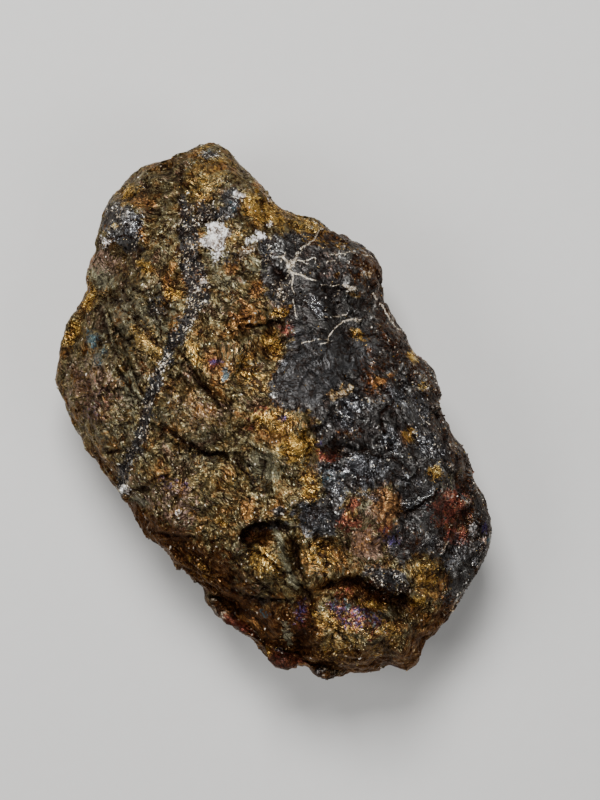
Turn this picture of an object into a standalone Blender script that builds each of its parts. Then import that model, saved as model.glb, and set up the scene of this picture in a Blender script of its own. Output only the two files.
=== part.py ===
"""A broken lump of chalcopyrite ore, about 142 mm long, 87 mm wide and 55 mm thick.

It is one solid: the quartz, the dark sulphide zone and the thin dark vein are grown together
with the chalcopyrite. It lies on a flat break, with its weathered face up (+Z) and its long
axis along Y. The origin is at the bottom centre of its box.

The relief is written in the face plan, in millimetres: x to the right and y up, as the face
is seen from above with the narrow end up. The plan is turned at the end, which lays the long
axis along Y.
"""
import math
from dataclasses import dataclass

import bmesh
import bpy
import numpy as np
from mathutils import noise

MM = 0.001

# Driving sizes in millimetres: the height of the widest level, what stands over it, and what
# would hang under it if the resting break didn't cut it flat
RIM_HEIGHT = 21.5
CROWN = 31.0
KEEL = 26.0
CROWN_FULLNESS = 2.2
KEEL_FULLNESS = 2.5
# How the widest level rises and falls round the lump: height, waves a turn, where it starts
RIM_WAVES = [(2.6, 1, 0.6), (2.0, 2, 1.9), (1.3, 5, 0.4), (0.8, 9, 2.2)]
PLAN_TURN_DEG = 25.0
# The relief was read looking down from here: the plan's point under the eye, and the eye's
# height over the widest level
EYE_OVER = (7.5, 5.0)
EYE_HEIGHT = 700.0

# Edge of the lump in the face plan, clockwise from the narrow end
EDGE = [
    (-17.5, 68.0), (-14.0, 68.5), (-11.0, 67.0), (-8.5, 64.5), (-3.5, 59.8), (0.5, 54.8),
    (3.3, 52.3), (6.8, 50.8), (13.3, 48.8), (16.3, 45.8), (20.0, 44.8), (25.5, 41.5),
    (27.0, 38.5), (27.3, 33.0), (28.3, 28.8), (33.3, 22.3), (35.8, 17.5), (40.3, 11.3),
    (40.8, 6.3), (42.8, 1.8), (45.5, -4.0), (49.5, -8.8), (51.0, -15.5), (54.8, -24.3),
    (55.3, -27.5), (54.5, -32.0), (52.0, -37.0), (48.0, -43.3), (45.0, -47.5), (41.5, -52.0),
    (38.0, -55.0), (37.0, -59.0), (34.3, -62.3), (29.5, -60.8), (26.0, -62.0), (20.0, -62.8),
    (14.5, -64.5), (12.0, -63.8), (9.5, -61.3), (7.0, -60.5), (3.8, -61.5), (0.0, -59.0),
    (-3.8, -55.3), (-11.3, -49.8), (-14.5, -46.0), (-16.8, -41.8), (-23.5, -34.0),
    (-30.5, -29.0), (-33.0, -24.8), (-36.5, -19.0), (-43.5, -10.0), (-48.3, -3.5),
    (-51.5, 4.3), (-53.3, 10.5), (-52.5, 14.5), (-50.5, 23.5), (-48.0, 27.3), (-45.0, 32.5),
    (-45.8, 35.5), (-45.0, 39.0), (-43.0, 42.5), (-42.0, 51.0), (-40.3, 54.8),
    (-35.3, 60.8), (-32.3, 63.0), (-23.5, 65.3),
]

# The edge is read round a full turn in even steps. Only its slowest waves reach the middle, and its
# own corners fade inwards with a power of the share of the way out. The rim's waves fade likewise
EDGE_STEPS = 720
SLOW_WAVES = 5
EDGE_FADE = 5
RIM_FADE = 3

# Mesh: a fine ball is shaped, and then thinned where the surface is plain
BALL_LEVEL = 7
KEPT_SHARE = 0.118
RIM_POLAR_DEG = 100.0
FLAT_WITHIN = 0.2


@dataclass(frozen=True)
class Break:
    """A broad plane that cuts a flank: the way it faces, and its distance from the middle."""

    azimuth_deg: float
    elevation_deg: float
    distance: float


@dataclass(frozen=True)
class Lump:
    """A rounded swell: centre, half length, half width, direction of the length, height."""

    x: float
    y: float
    half_length: float
    half_width: float
    turn_deg: float
    height: float


@dataclass(frozen=True)
class Ledge:
    """A step along a line. The ground to the right of the line's direction is the low side."""

    points: tuple
    drop: float
    lip: float
    reach: float


@dataclass(frozen=True)
class Groove:
    """A crack or hollow along a line, with its depth and half width."""

    points: tuple
    depth: float
    half_width: float


CROWN_BREAKS = [
    Break(228.0, 54.0, 35.5),
    Break(262.0, 46.0, 50.0),
    Break(165.0, 38.0, 45.5),
    Break(35.0, 46.0, 37.5),
    Break(352.0, 42.0, 45.5),
    Break(100.0, 36.0, 61.0),
    Break(305.0, 50.0, 54.0),
    Break(75.0, 78.0, 31.0),
    Break(250.0, 80.0, 30.5),
]
KEEL_BREAKS = [
    Break(200.0, -48.0, 33.0),
    Break(40.0, -42.0, 31.0),
    Break(290.0, -45.0, 44.0),
    Break(110.0, -50.0, 44.0),
    Break(345.0, -38.0, 40.0),
    Break(245.0, -35.0, 35.0),
]
LUMPS = [
    Lump(-44.0, 10.0, 14.0, 9.0, 95.0, 3.6),
    Lump(-37.0, 50.0, 9.0, 7.0, 60.0, 2.4),
    Lump(-29.0, 41.0, 9.0, 6.0, 20.0, 1.6),
    Lump(-13.0, 60.0, 12.0, 8.0, 150.0, 2.6),
    Lump(-31.0, 24.0, 11.0, 7.0, 130.0, 2.2),
    Lump(21.0, 37.0, 10.0, 7.0, 120.0, 3.4),
    Lump(-18.0, 1.0, 11.0, 7.5, 160.0, 3.4),
    Lump(-9.0, 24.0, 15.0, 9.0, 100.0, 1.8),
    Lump(5.0, -7.0, 9.0, 8.0, 60.0, 1.8),
    Lump(14.0, 14.0, 13.0, 8.0, 120.0, 2.0),
    Lump(31.0, 3.0, 11.0, 7.0, 115.0, 2.2),
    Lump(40.0, -13.0, 13.0, 9.0, 110.0, 2.8),
    Lump(23.0, -24.0, 13.0, 9.0, 20.0, 2.6),
    Lump(-26.0, -20.0, 13.0, 8.0, 150.0, 2.0),
    Lump(-2.0, -37.0, 10.0, 7.0, 60.0, 2.6),
    Lump(-13.0, -32.0, 11.0, 6.0, 150.0, 1.6),
    Lump(23.0, -55.0, 16.0, 10.0, 8.0, 6.8),
    Lump(34.0, -59.0, 5.0, 4.0, 60.0, 2.4),
    Lump(46.0, -31.0, 11.0, 7.0, 70.0, 2.4),
    Lump(-38.0, 52.5, 4.0, 3.5, 0.0, 1.6),
    Lump(-34.0, 45.0, 4.0, 3.5, 0.0, 1.6),
    Lump(26.0, 1.0, 8.0, 5.0, 130.0, 1.2),
    Lump(12.0, 29.0, 10.0, 6.0, 150.0, 1.2),
    Lump(36.0, -40.0, 7.0, 5.0, 30.0, 1.6),
]
LEDGES = [
    Ledge(((-32.0, 8.5), (-36.3, 14.5), (-38.5, 19.0), (-40.3, 25.0), (-41.8, 30.0)), 1.6, 0.6, 4.0),
    Ledge(((-29.5, -1.0), (-26.0, -3.8), (-20.0, -7.3), (-16.0, -7.9), (-10.5, -8.8)), 2.6, 0.6, 5.0),
    Ledge(((-7.5, -31.5), (-6.3, -28.0), (-1.3, -25.3), (2.5, -25.6), (6.0, -28.5)), 2.4, 0.7, 3.2),
    Ledge(((-31.0, -27.0), (-20.0, -29.5), (-12.0, -36.0), (-9.0, -42.5), (-3.0, -45.2),
           (5.5, -45.6)), 2.6, 0.5, 5.0),
    Ledge(((11.0, -41.5), (17.5, -39.3), (22.5, -38.8), (26.5, -41.8), (31.5, -44.5),
           (36.5, -45.5)), 2.6, 0.6, 5.0),
    Ledge(((-33.0, -17.5), (-30.0, -15.5), (-23.5, -13.6)), 1.4, 0.3, 4.0),
    Ledge(((12.5, -6.0), (16.0, -6.8), (21.5, -7.3), (25.0, -8.2)), 0.6, 0.3, 3.0),
    Ledge(((-8.0, 23.3), (-3.5, 24.3), (2.5, 24.6)), 1.2, 0.3, 4.0),
    Ledge(((-46.0, 30.0), (-38.5, 33.0), (-33.5, 31.0), (-27.0, 28.0)), 1.2, 0.3, 4.0),
    Ledge(((30.5, -46.5), (36.0, -38.5), (42.5, -37.0), (46.5, -41.0)), 1.6, 0.4, 4.0),
    Ledge(((36.5, 13.0), (33.0, 6.5), (33.5, 1.0), (37.5, -6.5)), 1.4, 0.4, 4.5),
    Ledge(((-25.0, -31.5), (-17.0, -38.5), (-10.5, -46.0), (-2.0, -54.5)), 1.6, 0.4, 4.0),
    Ledge(((25.0, 27.5), (21.0, 23.0), (19.0, 17.0)), 0.6, 0.2, 4.0),
    Ledge(((-38.6, 31.1), (-35.8, 28.9), (-32.5, 26.1), (-29.2, 22.8), (-27.0, 20.0)), 1.2, 0.5, 2.5),
    Ledge(((-40.3, 27.8), (-38.0, 24.0), (-35.8, 20.0), (-32.5, 16.7), (-28.0, 14.0)), 1.2, 0.5, 2.5),
]
GROOVES = [
    Groove(((12.0, -43.5), (17.5, -41.2), (22.5, -41.0), (27.0, -44.0), (34.5, -46.5)), 1.0, 2.2),
    Groove(((5.8, -30.5), (6.8, -37.0), (8.3, -43.0), (10.0, -46.5)), 2.2, 1.5),
    Groove(((-5.5, -28.5), (0.5, -27.0), (4.5, -28.8)), 1.2, 1.3),
    Groove(((-30.0, 32.0), (-27.0, 28.0), (-23.5, 15.5), (-20.0, 11.5), (-14.0, 6.3)), 1.2, 1.2),
    Groove(((15.8, -5.8), (19.5, -8.3), (24.0, -7.3)), 0.6, 1.0),
    Groove(((-8.8, -8.8), (-4.5, -14.0), (-2.0, -17.5)), 0.7, 0.9),
    Groove(((-14.3, 50.5), (-13.2, 49.5)), 2.0, 1.8),
    Groove(((-34.5, 43.5), (-32.5, 42.5)), 1.8, 2.0),
    Groove(((7.5, -54.0), (8.5, -58.0), (8.0, -62.0)), 2.4, 1.8),
    Groove(((29.0, -57.0), (31.0, -62.0)), 1.6, 1.6),
    Groove(((27.5, 5.5), (29.5, 2.0)), 0.9, 1.5),
    Groove(((24.5, 42.0), (26.0, 38.0), (26.5, 33.0)), 1.0, 1.2),
]
# Powers that shape a swell's dome and a step's low side, the share of what stands beyond a broad
# break that it cuts away, and how far in from the edge the breaks and the relief reach full height
SWELL_POWER = 1.3
STEP_POWER = 1.5
CUT_SHARE = 0.85
CUT_FADE = 0.35
RELIEF_FADE = 0.3

# Broken faces: cells of one tilted plane each, coarse to fine
FACET_BOX = ((-58.0, -68.0, -8.0), (58.0, 72.0, 58.0))
FACET_LAYERS = [(16.0, 0.05, 11), (7.0, 0.065, 23)]
FACET_LIMIT = 1.5
POINTS_AT_ONCE = 4000
# Rough fracture: size of the bumps, height, and where the pattern starts
ROUGH_LAYERS = [(21.0, 1.3, 3.7), (8.0, 0.7, 41.3)]
ROUGH_EXPONENT = 0.9
ROUGH_STEP = 2.1
ROUGH_OCTAVES = 3
EDGE_ROUGHNESS = 0.25
EDGE_BAND = 0.25

ORE_COLOUR = (0.17, 0.115, 0.05, 1.0)
ORE_METALLIC = 0.55
ORE_ROUGHNESS = 0.48


def clear_scene():
    """Remove every object that the file starts with."""
    for thing in list(bpy.data.objects):
        bpy.data.objects.remove(thing, do_unlink=True)


def smooth(low, high, value):
    """Ease from 0 at low to 1 at high. Low may be the larger of the two."""
    share = np.clip((value - low) / (high - low), 0.0, 1.0)
    return share * share * (3.0 - 2.0 * share)


def edge_radius(angle):
    """Distance from the plan centre to the edge, and the same for a rounded edge."""
    points = np.array(EDGE)
    bearing = np.arctan2(points[:, 1], points[:, 0])
    order = np.argsort(bearing)
    reach = np.hypot(points[:, 0], points[:, 1])[order]
    turns = np.linspace(-math.pi, math.pi, EDGE_STEPS, endpoint=False)
    ring = np.interp(turns, bearing[order], reach, period=2.0 * math.pi)
    waves = np.fft.rfft(ring)
    waves[SLOW_WAVES:] = 0.0
    rounded = np.fft.irfft(waves, len(turns))
    sharp = np.interp(angle, turns, ring, period=2.0 * math.pi)
    return sharp, np.interp(angle, turns, rounded, period=2.0 * math.pi)


def pillow(directions):
    """Places each direction of a ball on a pillow with the lump's edge. Returns each point and level."""
    angle = np.arctan2(directions[:, 1], directions[:, 0])
    polar = np.arccos(np.clip(directions[:, 2], -1.0, 1.0))
    rim = math.radians(RIM_POLAR_DEG)
    above = polar <= rim
    turn = np.where(above, polar / rim, (math.pi - polar) / (math.pi - rim)) * math.pi / 2.0
    share = np.sin(turn)
    fullness = np.where(above, CROWN_FULLNESS, KEEL_FULLNESS)
    level = (1.0 - share**fullness) ** (1.0 / fullness)
    sharp, rounded = edge_radius(angle)
    reach = (rounded + (sharp - rounded) * share**EDGE_FADE) * share
    height = RIM_HEIGHT + np.where(above, CROWN * level, -KEEL * level)
    for swing, count, start in RIM_WAVES:
        height += swing * np.sin(count * angle + start) * share**RIM_FADE
    points = np.stack([reach * np.cos(angle), reach * np.sin(angle), height], axis=1)
    return points, level, above


def cut_breaks(points, level, side, breaks):
    """Lowers (or lifts, under the rim) the points that stand beyond each broad break."""
    inner = CUT_SHARE * smooth(0.0, CUT_FADE, level)
    for plane in breaks:
        azimuth = math.radians(plane.azimuth_deg)
        elevation = math.radians(plane.elevation_deg)
        across = math.cos(azimuth) * points[:, 0] + math.sin(azimuth) * points[:, 1]
        limit = RIM_HEIGHT + (plane.distance - math.cos(elevation) * across) / math.sin(elevation)
        over = np.maximum(0.0, (points[:, 2] - limit) * math.copysign(1.0, plane.elevation_deg))
        points[side, 2] -= (np.copysign(over, plane.elevation_deg) * inner)[side]


def seen_from_above(points):
    """Where the eye sees each point at the widest level: a high place looks further out than it is."""
    grown = EYE_HEIGHT / (EYE_HEIGHT + RIM_HEIGHT - points[:, 2])
    return EYE_OVER + (points[:, :2] - EYE_OVER) * grown[:, None]


def along(places, line):
    """Distance to a line, the side (positive on the right of its direction), and the share along it."""
    line = np.array(line)
    steps = np.linalg.norm(np.diff(line, axis=0), axis=1)
    starts = np.concatenate([[0.0], np.cumsum(steps)])
    nearest = np.full(len(places), np.inf)
    side = np.zeros(len(places))
    share = np.zeros(len(places))
    for first, last, start, length in zip(line[:-1], line[1:], starts, steps):
        run = (last - first) / length
        offset = places - first
        where = np.clip(offset @ run, 0.0, length)
        gap = np.linalg.norm(offset - where[:, None] * run, axis=1)
        closer = gap < nearest
        right = offset[:, 0] * run[1] - offset[:, 1] * run[0]
        side[closer] = np.sign(right[closer])
        share[closer] = (start + where[closer]) / starts[-1]
        nearest = np.minimum(nearest, gap)
    return nearest, side, share


def lump_height(places, lump):
    """Height that one rounded swell adds."""
    turn = math.radians(lump.turn_deg)
    x, y = places[:, 0] - lump.x, places[:, 1] - lump.y
    length = (x * math.cos(turn) + y * math.sin(turn)) / lump.half_length
    width = (y * math.cos(turn) - x * math.sin(turn)) / lump.half_width
    return lump.height * np.maximum(0.0, 1.0 - length**2 - width**2) ** SWELL_POWER


def ledge_height(places, ledge):
    """Height that one step adds: a lip on the high side, and a drop that eases out on the low side."""
    gap, side, share = along(places, ledge.points)
    ends = np.sqrt(np.sin(math.pi * np.clip(share, 0.0, 1.0)))
    high = ledge.lip * np.exp(-gap / ledge.reach)
    low = -ledge.drop * np.exp(-((gap / ledge.reach) ** STEP_POWER))
    return np.where(side > 0.0, low, high) * ends


def groove_height(places, groove):
    """Depth that one groove takes away."""
    gap, _, _ = along(places, groove.points)
    return -groove.depth * np.exp(-((gap / groove.half_width) ** 2))


def facets(points, size, tilt, seed):
    """Height of small broken faces: each point takes the tilted plane of its nearest seed point."""
    random = np.random.default_rng(seed)
    low, high = np.array(FACET_BOX)
    count = int(np.prod((high - low) / size + 1.0))
    seeds = low + random.random((count, 3)) * (high - low)
    tilts = random.normal(0.0, tilt, (count, 3))
    height = np.empty(len(points))
    for start in range(0, len(points), POINTS_AT_ONCE):
        part = points[start:start + POINTS_AT_ONCE]
        apart = ((part[:, None, :] - seeds[None, :, :]) ** 2).sum(axis=2)
        first = apart.argmin(axis=1)
        height[start:start + POINTS_AT_ONCE] = ((part - seeds[first]) * tilts[first]).sum(axis=1)
    limit = size * tilt * FACET_LIMIT
    return np.clip(height, -limit, limit)


def roughness(points, size, height, start):
    """Height of rough fracture: layered noise of one size."""
    scaled = points / size + start
    layers = [noise.fractal(point, ROUGH_EXPONENT, ROUGH_STEP, ROUGH_OCTAVES) for point in scaled]
    return height * np.array(layers)


def shape_points(directions, normals_of):
    """Moves the ball's points onto the lump and returns them, in the face plan, in millimetres."""
    points, level, above = pillow(directions)
    below = ~above
    cut_breaks(points, level, above, CROWN_BREAKS)
    cut_breaks(points, level, below, KEEL_BREAKS)
    places = seen_from_above(points)
    relief = np.zeros(len(points))
    for lump in LUMPS:
        relief += lump_height(places, lump)
    for ledge in LEDGES:
        relief += ledge_height(places, ledge)
    for groove in GROOVES:
        relief += groove_height(places, groove)
    points[:, 2] += relief * above * smooth(0.0, RELIEF_FADE, level)
    normals = normals_of(points)
    rough = np.zeros(len(points))
    for size, tilt, seed in FACET_LAYERS:
        rough += facets(points, size, tilt, seed)
    for size, height, start in ROUGH_LAYERS:
        rough += roughness(points, size, height, start)
    at_edge = EDGE_ROUGHNESS + (1.0 - EDGE_ROUGHNESS) * smooth(0.0, EDGE_BAND, level)
    return points + normals * (rough * at_edge)[:, None]


def lay_down(points):
    """Turns the plan so that the long axis lies along Y, and flattens the resting break."""
    turn = math.radians(PLAN_TURN_DEG)
    x = points[:, 0] * math.cos(turn) + points[:, 1] * math.sin(turn)
    y = points[:, 1] * math.cos(turn) - points[:, 0] * math.sin(turn)
    return np.stack([x, y, np.maximum(points[:, 2], 0.0)], axis=1)


def ore_material():
    """Dull brass-brown ore, partly metallic."""
    material = bpy.data.materials.new("chalcopyrite_ore")
    material.use_nodes = True
    shader = material.node_tree.nodes["Principled BSDF"]
    shader.inputs["Base Color"].default_value = ORE_COLOUR
    shader.inputs["Metallic"].default_value = ORE_METALLIC
    shader.inputs["Roughness"].default_value = ORE_ROUGHNESS
    material.diffuse_color = ORE_COLOUR
    return material


def shaped_ball():
    """The fine mesh: every point of a ball moved onto the lump."""
    mesh = bpy.data.meshes.new("fine_lump")
    ball = bmesh.new()
    bmesh.ops.create_icosphere(ball, subdivisions=BALL_LEVEL, radius=1.0)

    def place(points):
        for vertex, point in zip(ball.verts, points):
            vertex.co = point

    def normals_of(points):
        place(points)
        ball.normal_update()
        return np.array([vertex.normal for vertex in ball.verts])

    directions = np.array([vertex.co for vertex in ball.verts])
    place(lay_down(shape_points(directions, normals_of)) * MM)
    ball.to_mesh(mesh)
    ball.free()
    return mesh


def thinned(mesh):
    """A copy of a mesh with few faces where it is plain and more where it is rough."""
    fine = bpy.data.objects.new("fine_lump", mesh)
    bpy.context.scene.collection.objects.link(fine)
    thin = fine.modifiers.new("thin", "DECIMATE")
    thin.ratio = KEPT_SHARE
    graph = bpy.context.evaluated_depsgraph_get()
    coarse = bpy.data.meshes.new_from_object(fine.evaluated_get(graph))
    bpy.data.objects.remove(fine)
    bpy.data.meshes.remove(mesh)
    return coarse


def settle(mesh):
    """Lays the resting break exactly on the ground, and the origin at the bottom centre."""
    points = np.array([vertex.co for vertex in mesh.vertices]) / MM
    points[points[:, 2] < FLAT_WITHIN, 2] = 0.0
    points[:, :2] -= (points[:, :2].min(axis=0) + points[:, :2].max(axis=0)) / 2.0
    for vertex, point in zip(mesh.vertices, points * MM):
        vertex.co = point
    mesh.update()


def make_lump():
    """Builds the one solid."""
    mesh = thinned(shaped_ball())
    settle(mesh)
    mesh.name = "chalcopyrite_lump"
    mesh.materials.clear()
    mesh.materials.append(ore_material())
    lump = bpy.data.objects.new("chalcopyrite_lump", mesh)
    bpy.context.scene.collection.objects.link(lump)


clear_scene()
make_lump()
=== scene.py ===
"""The looks of a tarnished lump of chalcopyrite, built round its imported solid.

Lengths are millimetres in the face plan: x to the right and y up, as the face is seen from
above with the narrow end up. The plan is turned to lay the lump's long axis along Y.
"""
import logging
import math
from dataclasses import dataclass
from enum import Enum
from typing import ClassVar

import bpy
import numpy as np
from mathutils import Matrix, Vector, noise
from mathutils.bvhtree import BVHTree


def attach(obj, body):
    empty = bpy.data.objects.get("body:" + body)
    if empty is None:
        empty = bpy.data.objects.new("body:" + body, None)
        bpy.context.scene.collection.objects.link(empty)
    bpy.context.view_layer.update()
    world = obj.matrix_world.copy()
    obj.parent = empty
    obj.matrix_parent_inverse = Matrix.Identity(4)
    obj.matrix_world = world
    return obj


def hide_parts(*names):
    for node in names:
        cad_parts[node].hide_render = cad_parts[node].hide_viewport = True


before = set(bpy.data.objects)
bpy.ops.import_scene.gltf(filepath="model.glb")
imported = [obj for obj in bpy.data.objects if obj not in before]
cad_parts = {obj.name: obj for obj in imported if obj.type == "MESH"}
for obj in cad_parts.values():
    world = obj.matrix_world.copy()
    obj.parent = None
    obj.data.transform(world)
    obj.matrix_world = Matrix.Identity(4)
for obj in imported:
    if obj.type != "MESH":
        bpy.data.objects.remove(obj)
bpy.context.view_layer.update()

LOG = logging.getLogger("chalcopyrite")

MM = 0.001
CAD_NODE = "chalcopyrite_lump"
PLAN_TURN = math.radians(25.0)
RIM_HEIGHT = 21.5
EYE_OVER = (7.5, 5.0)
EYE_HEIGHT = 700.0
WANDER_WIDTH = 1.6
BEND = 0.45
BEND_SIZE = 2.5
BEND_STARTS = (3.3, 44.9)
FLAKE_STRETCH = (1.0, 0.6, 1.0)
CHUNK = 4000
NOISE_FALL = 0.9
NOISE_STEP = 2.1
CHANCE_KEYS = (12.9898, 78.233, 37.719)
CHANCE_SCALE = 43758.5453
SLOPE_SALTS = (1.7, 5.3, 9.1)
LEVEL_SALT = 3.9
SWELL_EDGE = 1.3
LEDGE_FALL = 1.5
RIDGE_EDGE = 0.5
RIDGE_SWAY = 0.9
RIDGE_SLOPES = (1.5, 3.0)

Array = np.ndarray
Socket = bpy.types.NodeSocket
Line = tuple[tuple[float, float], ...]


def ease(low: float, high: float, value: Array) -> Array:
    """Ease from 0 at low to 1 at high. Low may be the larger of the two."""
    share = np.clip((value - low) / (high - low), 0.0, 1.0)
    return share * share * (3.0 - 2.0 * share)


def layered(points: Array, size: float, start: float, octaves: int = 3) -> Array:
    """Layered noise of about -1 to 1.

    Args:
        points: places in millimetres, one row each.
        size: size of the largest bumps.
        start: where in the pattern it begins.
        octaves: number of layers, each half as large as the last.

    Returns:
        One number for each point.
    """
    return np.array([noise.fractal(p, NOISE_FALL, NOISE_STEP, octaves) for p in points / size + start])


def chance(cells: Array, salt: float) -> Array:
    """A fixed random number from 0 to 1 for each row of whole or rounded numbers."""
    keys = np.round(cells, 3) @ np.array(CHANCE_KEYS) + salt
    return np.modf(np.abs(np.sin(keys) * CHANCE_SCALE))[0]


def bends(places: Array) -> Array:
    """Small moves across the face, by which a fine line strays from its straight runs."""
    flat = np.column_stack([places[:, :2], np.zeros(len(places))])
    return BEND * np.stack([layered(flat, BEND_SIZE, start, 2) for start in BEND_STARTS], axis=1)


def broken_cells(points: Array, size: float, tilt: float, step: float, start: float) -> Array:
    """Height of a hackly break: cells, each with one tilted flat face at its own level.

    Args:
        points: places in millimetres.
        size: size of a cell.
        tilt: how steep the faces are, as a slope.
        step: how far a face stands up or down.
        start: where in the pattern it begins.

    Returns:
        The height at each point.
    """
    scaled = points / size + start
    centres = np.array([noise.voronoi(p)[1][0] for p in scaled])
    slopes = np.stack([chance(centres, salt) - 0.5 for salt in SLOPE_SALTS], axis=1)
    level = chance(centres, LEVEL_SALT) - 0.5
    return ((scaled - centres) * slopes).sum(axis=1) * size * tilt * 2.0 + level * step * 2.0


def seen_from_above(points: Array) -> Array:
    """Where the eye sees each point at the widest level: a high place looks further out than it is."""
    grown = EYE_HEIGHT / (EYE_HEIGHT + RIM_HEIGHT - points[:, 2])
    return EYE_OVER + (points[:, :2] - EYE_OVER) * grown[:, None]


def along(places: Array, line: Line) -> tuple[Array, Array, Array]:
    """Measures places against a line.

    Args:
        places: places in the face plan.
        line: the line's corners.

    Returns:
        The distance, the side (positive on the right of the line's direction), and the share along it.
    """
    corners = np.array(line)
    steps = np.linalg.norm(np.diff(corners, axis=0), axis=1)
    starts = np.concatenate([[0.0], np.cumsum(steps)])
    nearest = np.full(len(places), np.inf)
    side = np.zeros(len(places))
    share = np.zeros(len(places))
    for first, start, length, last in zip(corners[:-1], starts, steps, corners[1:]):
        run = (last - first) / length
        offset = places - first
        where = np.clip(offset @ run, 0.0, length)
        gap = np.linalg.norm(offset - where[:, None] * run, axis=1)
        closer = gap < nearest
        right = offset[:, 0] * run[1] - offset[:, 1] * run[0]
        side[closer] = np.sign(right[closer])
        share[closer] = (start + where[closer]) / starts[-1]
        nearest = np.minimum(nearest, gap)
    return nearest, side, share


def inside(places: Array, ring: Line) -> Array:
    """Measures places against a ring.

    Args:
        places: places in the face plan.
        ring: the ring's corners, without the first one again at the end.

    Returns:
        The distance to the ring, positive within it and negative outside.
    """
    corners = np.array(ring)
    gap = along(places, tuple(ring) + (ring[0],))[0]
    crossings = np.zeros(len(places), bool)
    for (x0, y0), (x1, y1) in zip(corners, np.roll(corners, -1, axis=0)):
        if y0 != y1:
            spans = (y0 > places[:, 1]) != (y1 > places[:, 1])
            cut = x0 + (places[:, 1] - y0) * (x1 - x0) / (y1 - y0)
            crossings ^= spans & (places[:, 0] < cut)
    return np.where(crossings, gap, -gap)


def rows(kind: type, *numbers: tuple) -> tuple:
    """One shape of a kind for each row of numbers."""
    return tuple(kind(*row) for row in numbers)


@dataclass(frozen=True)
class Oval:
    """An oval on the face: centre, half length, half width, direction of the length."""

    x: float
    y: float
    half_length: float
    half_width: float
    turn_deg: float

    def shares(self, places: Array) -> tuple[Array, Array]:
        """Places in the oval's own axes.

        Args:
            places: places in the face plan.

        Returns:
            How far along and how far across each place is, as shares of the two halves.
        """
        turn = math.radians(self.turn_deg)
        x, y = places[:, 0] - self.x, places[:, 1] - self.y
        along_it = x * math.cos(turn) + y * math.sin(turn)
        across_it = y * math.cos(turn) - x * math.sin(turn)
        return along_it / self.half_length, across_it / self.half_width


@dataclass(frozen=True)
class Cut:
    """A broad plane that cuts a flank: the way it faces, and its distance from the middle."""

    azimuth_deg: float
    elevation_deg: float
    distance: float


@dataclass(frozen=True)
class Swell(Oval):
    """A rounded swell in an oval, with its height."""

    height: float

    def lift(self, places: Array) -> Array:
        """Height that the swell adds.

        Args:
            places: places in the face plan.

        Returns:
            One height for each place.
        """
        length, width = self.shares(places)
        return self.height * np.maximum(0.0, 1.0 - length**2 - width**2) ** SWELL_EDGE


@dataclass(frozen=True)
class Ledge:
    """A step along a line. The ground to the right of the line's direction is the low side."""

    points: Line
    drop: float
    lip: float
    reach: float

    def lift(self, places: Array) -> Array:
        """Height of the lip on the high side, and of the drop on the low side.

        Args:
            places: places in the face plan.

        Returns:
            One height for each place.
        """
        gap, side, share = along(places, self.points)
        ends = np.sqrt(np.sin(math.pi * np.clip(share, 0.0, 1.0)))
        high = self.lip * np.exp(-gap / self.reach)
        low = -self.drop * np.exp(-((gap / self.reach) ** LEDGE_FALL))
        return np.where(side > 0.0, low, high) * ends


@dataclass(frozen=True)
class Groove:
    """A crack or hollow along a line, with its depth and half width."""

    points: Line
    depth: float
    half_width: float

    def lift(self, places: Array) -> Array:
        """Depth that the groove takes away, as a negative height."""
        gap = along(places, self.points)[0]
        return -self.depth * np.exp(-((gap / self.half_width) ** 2))


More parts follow.
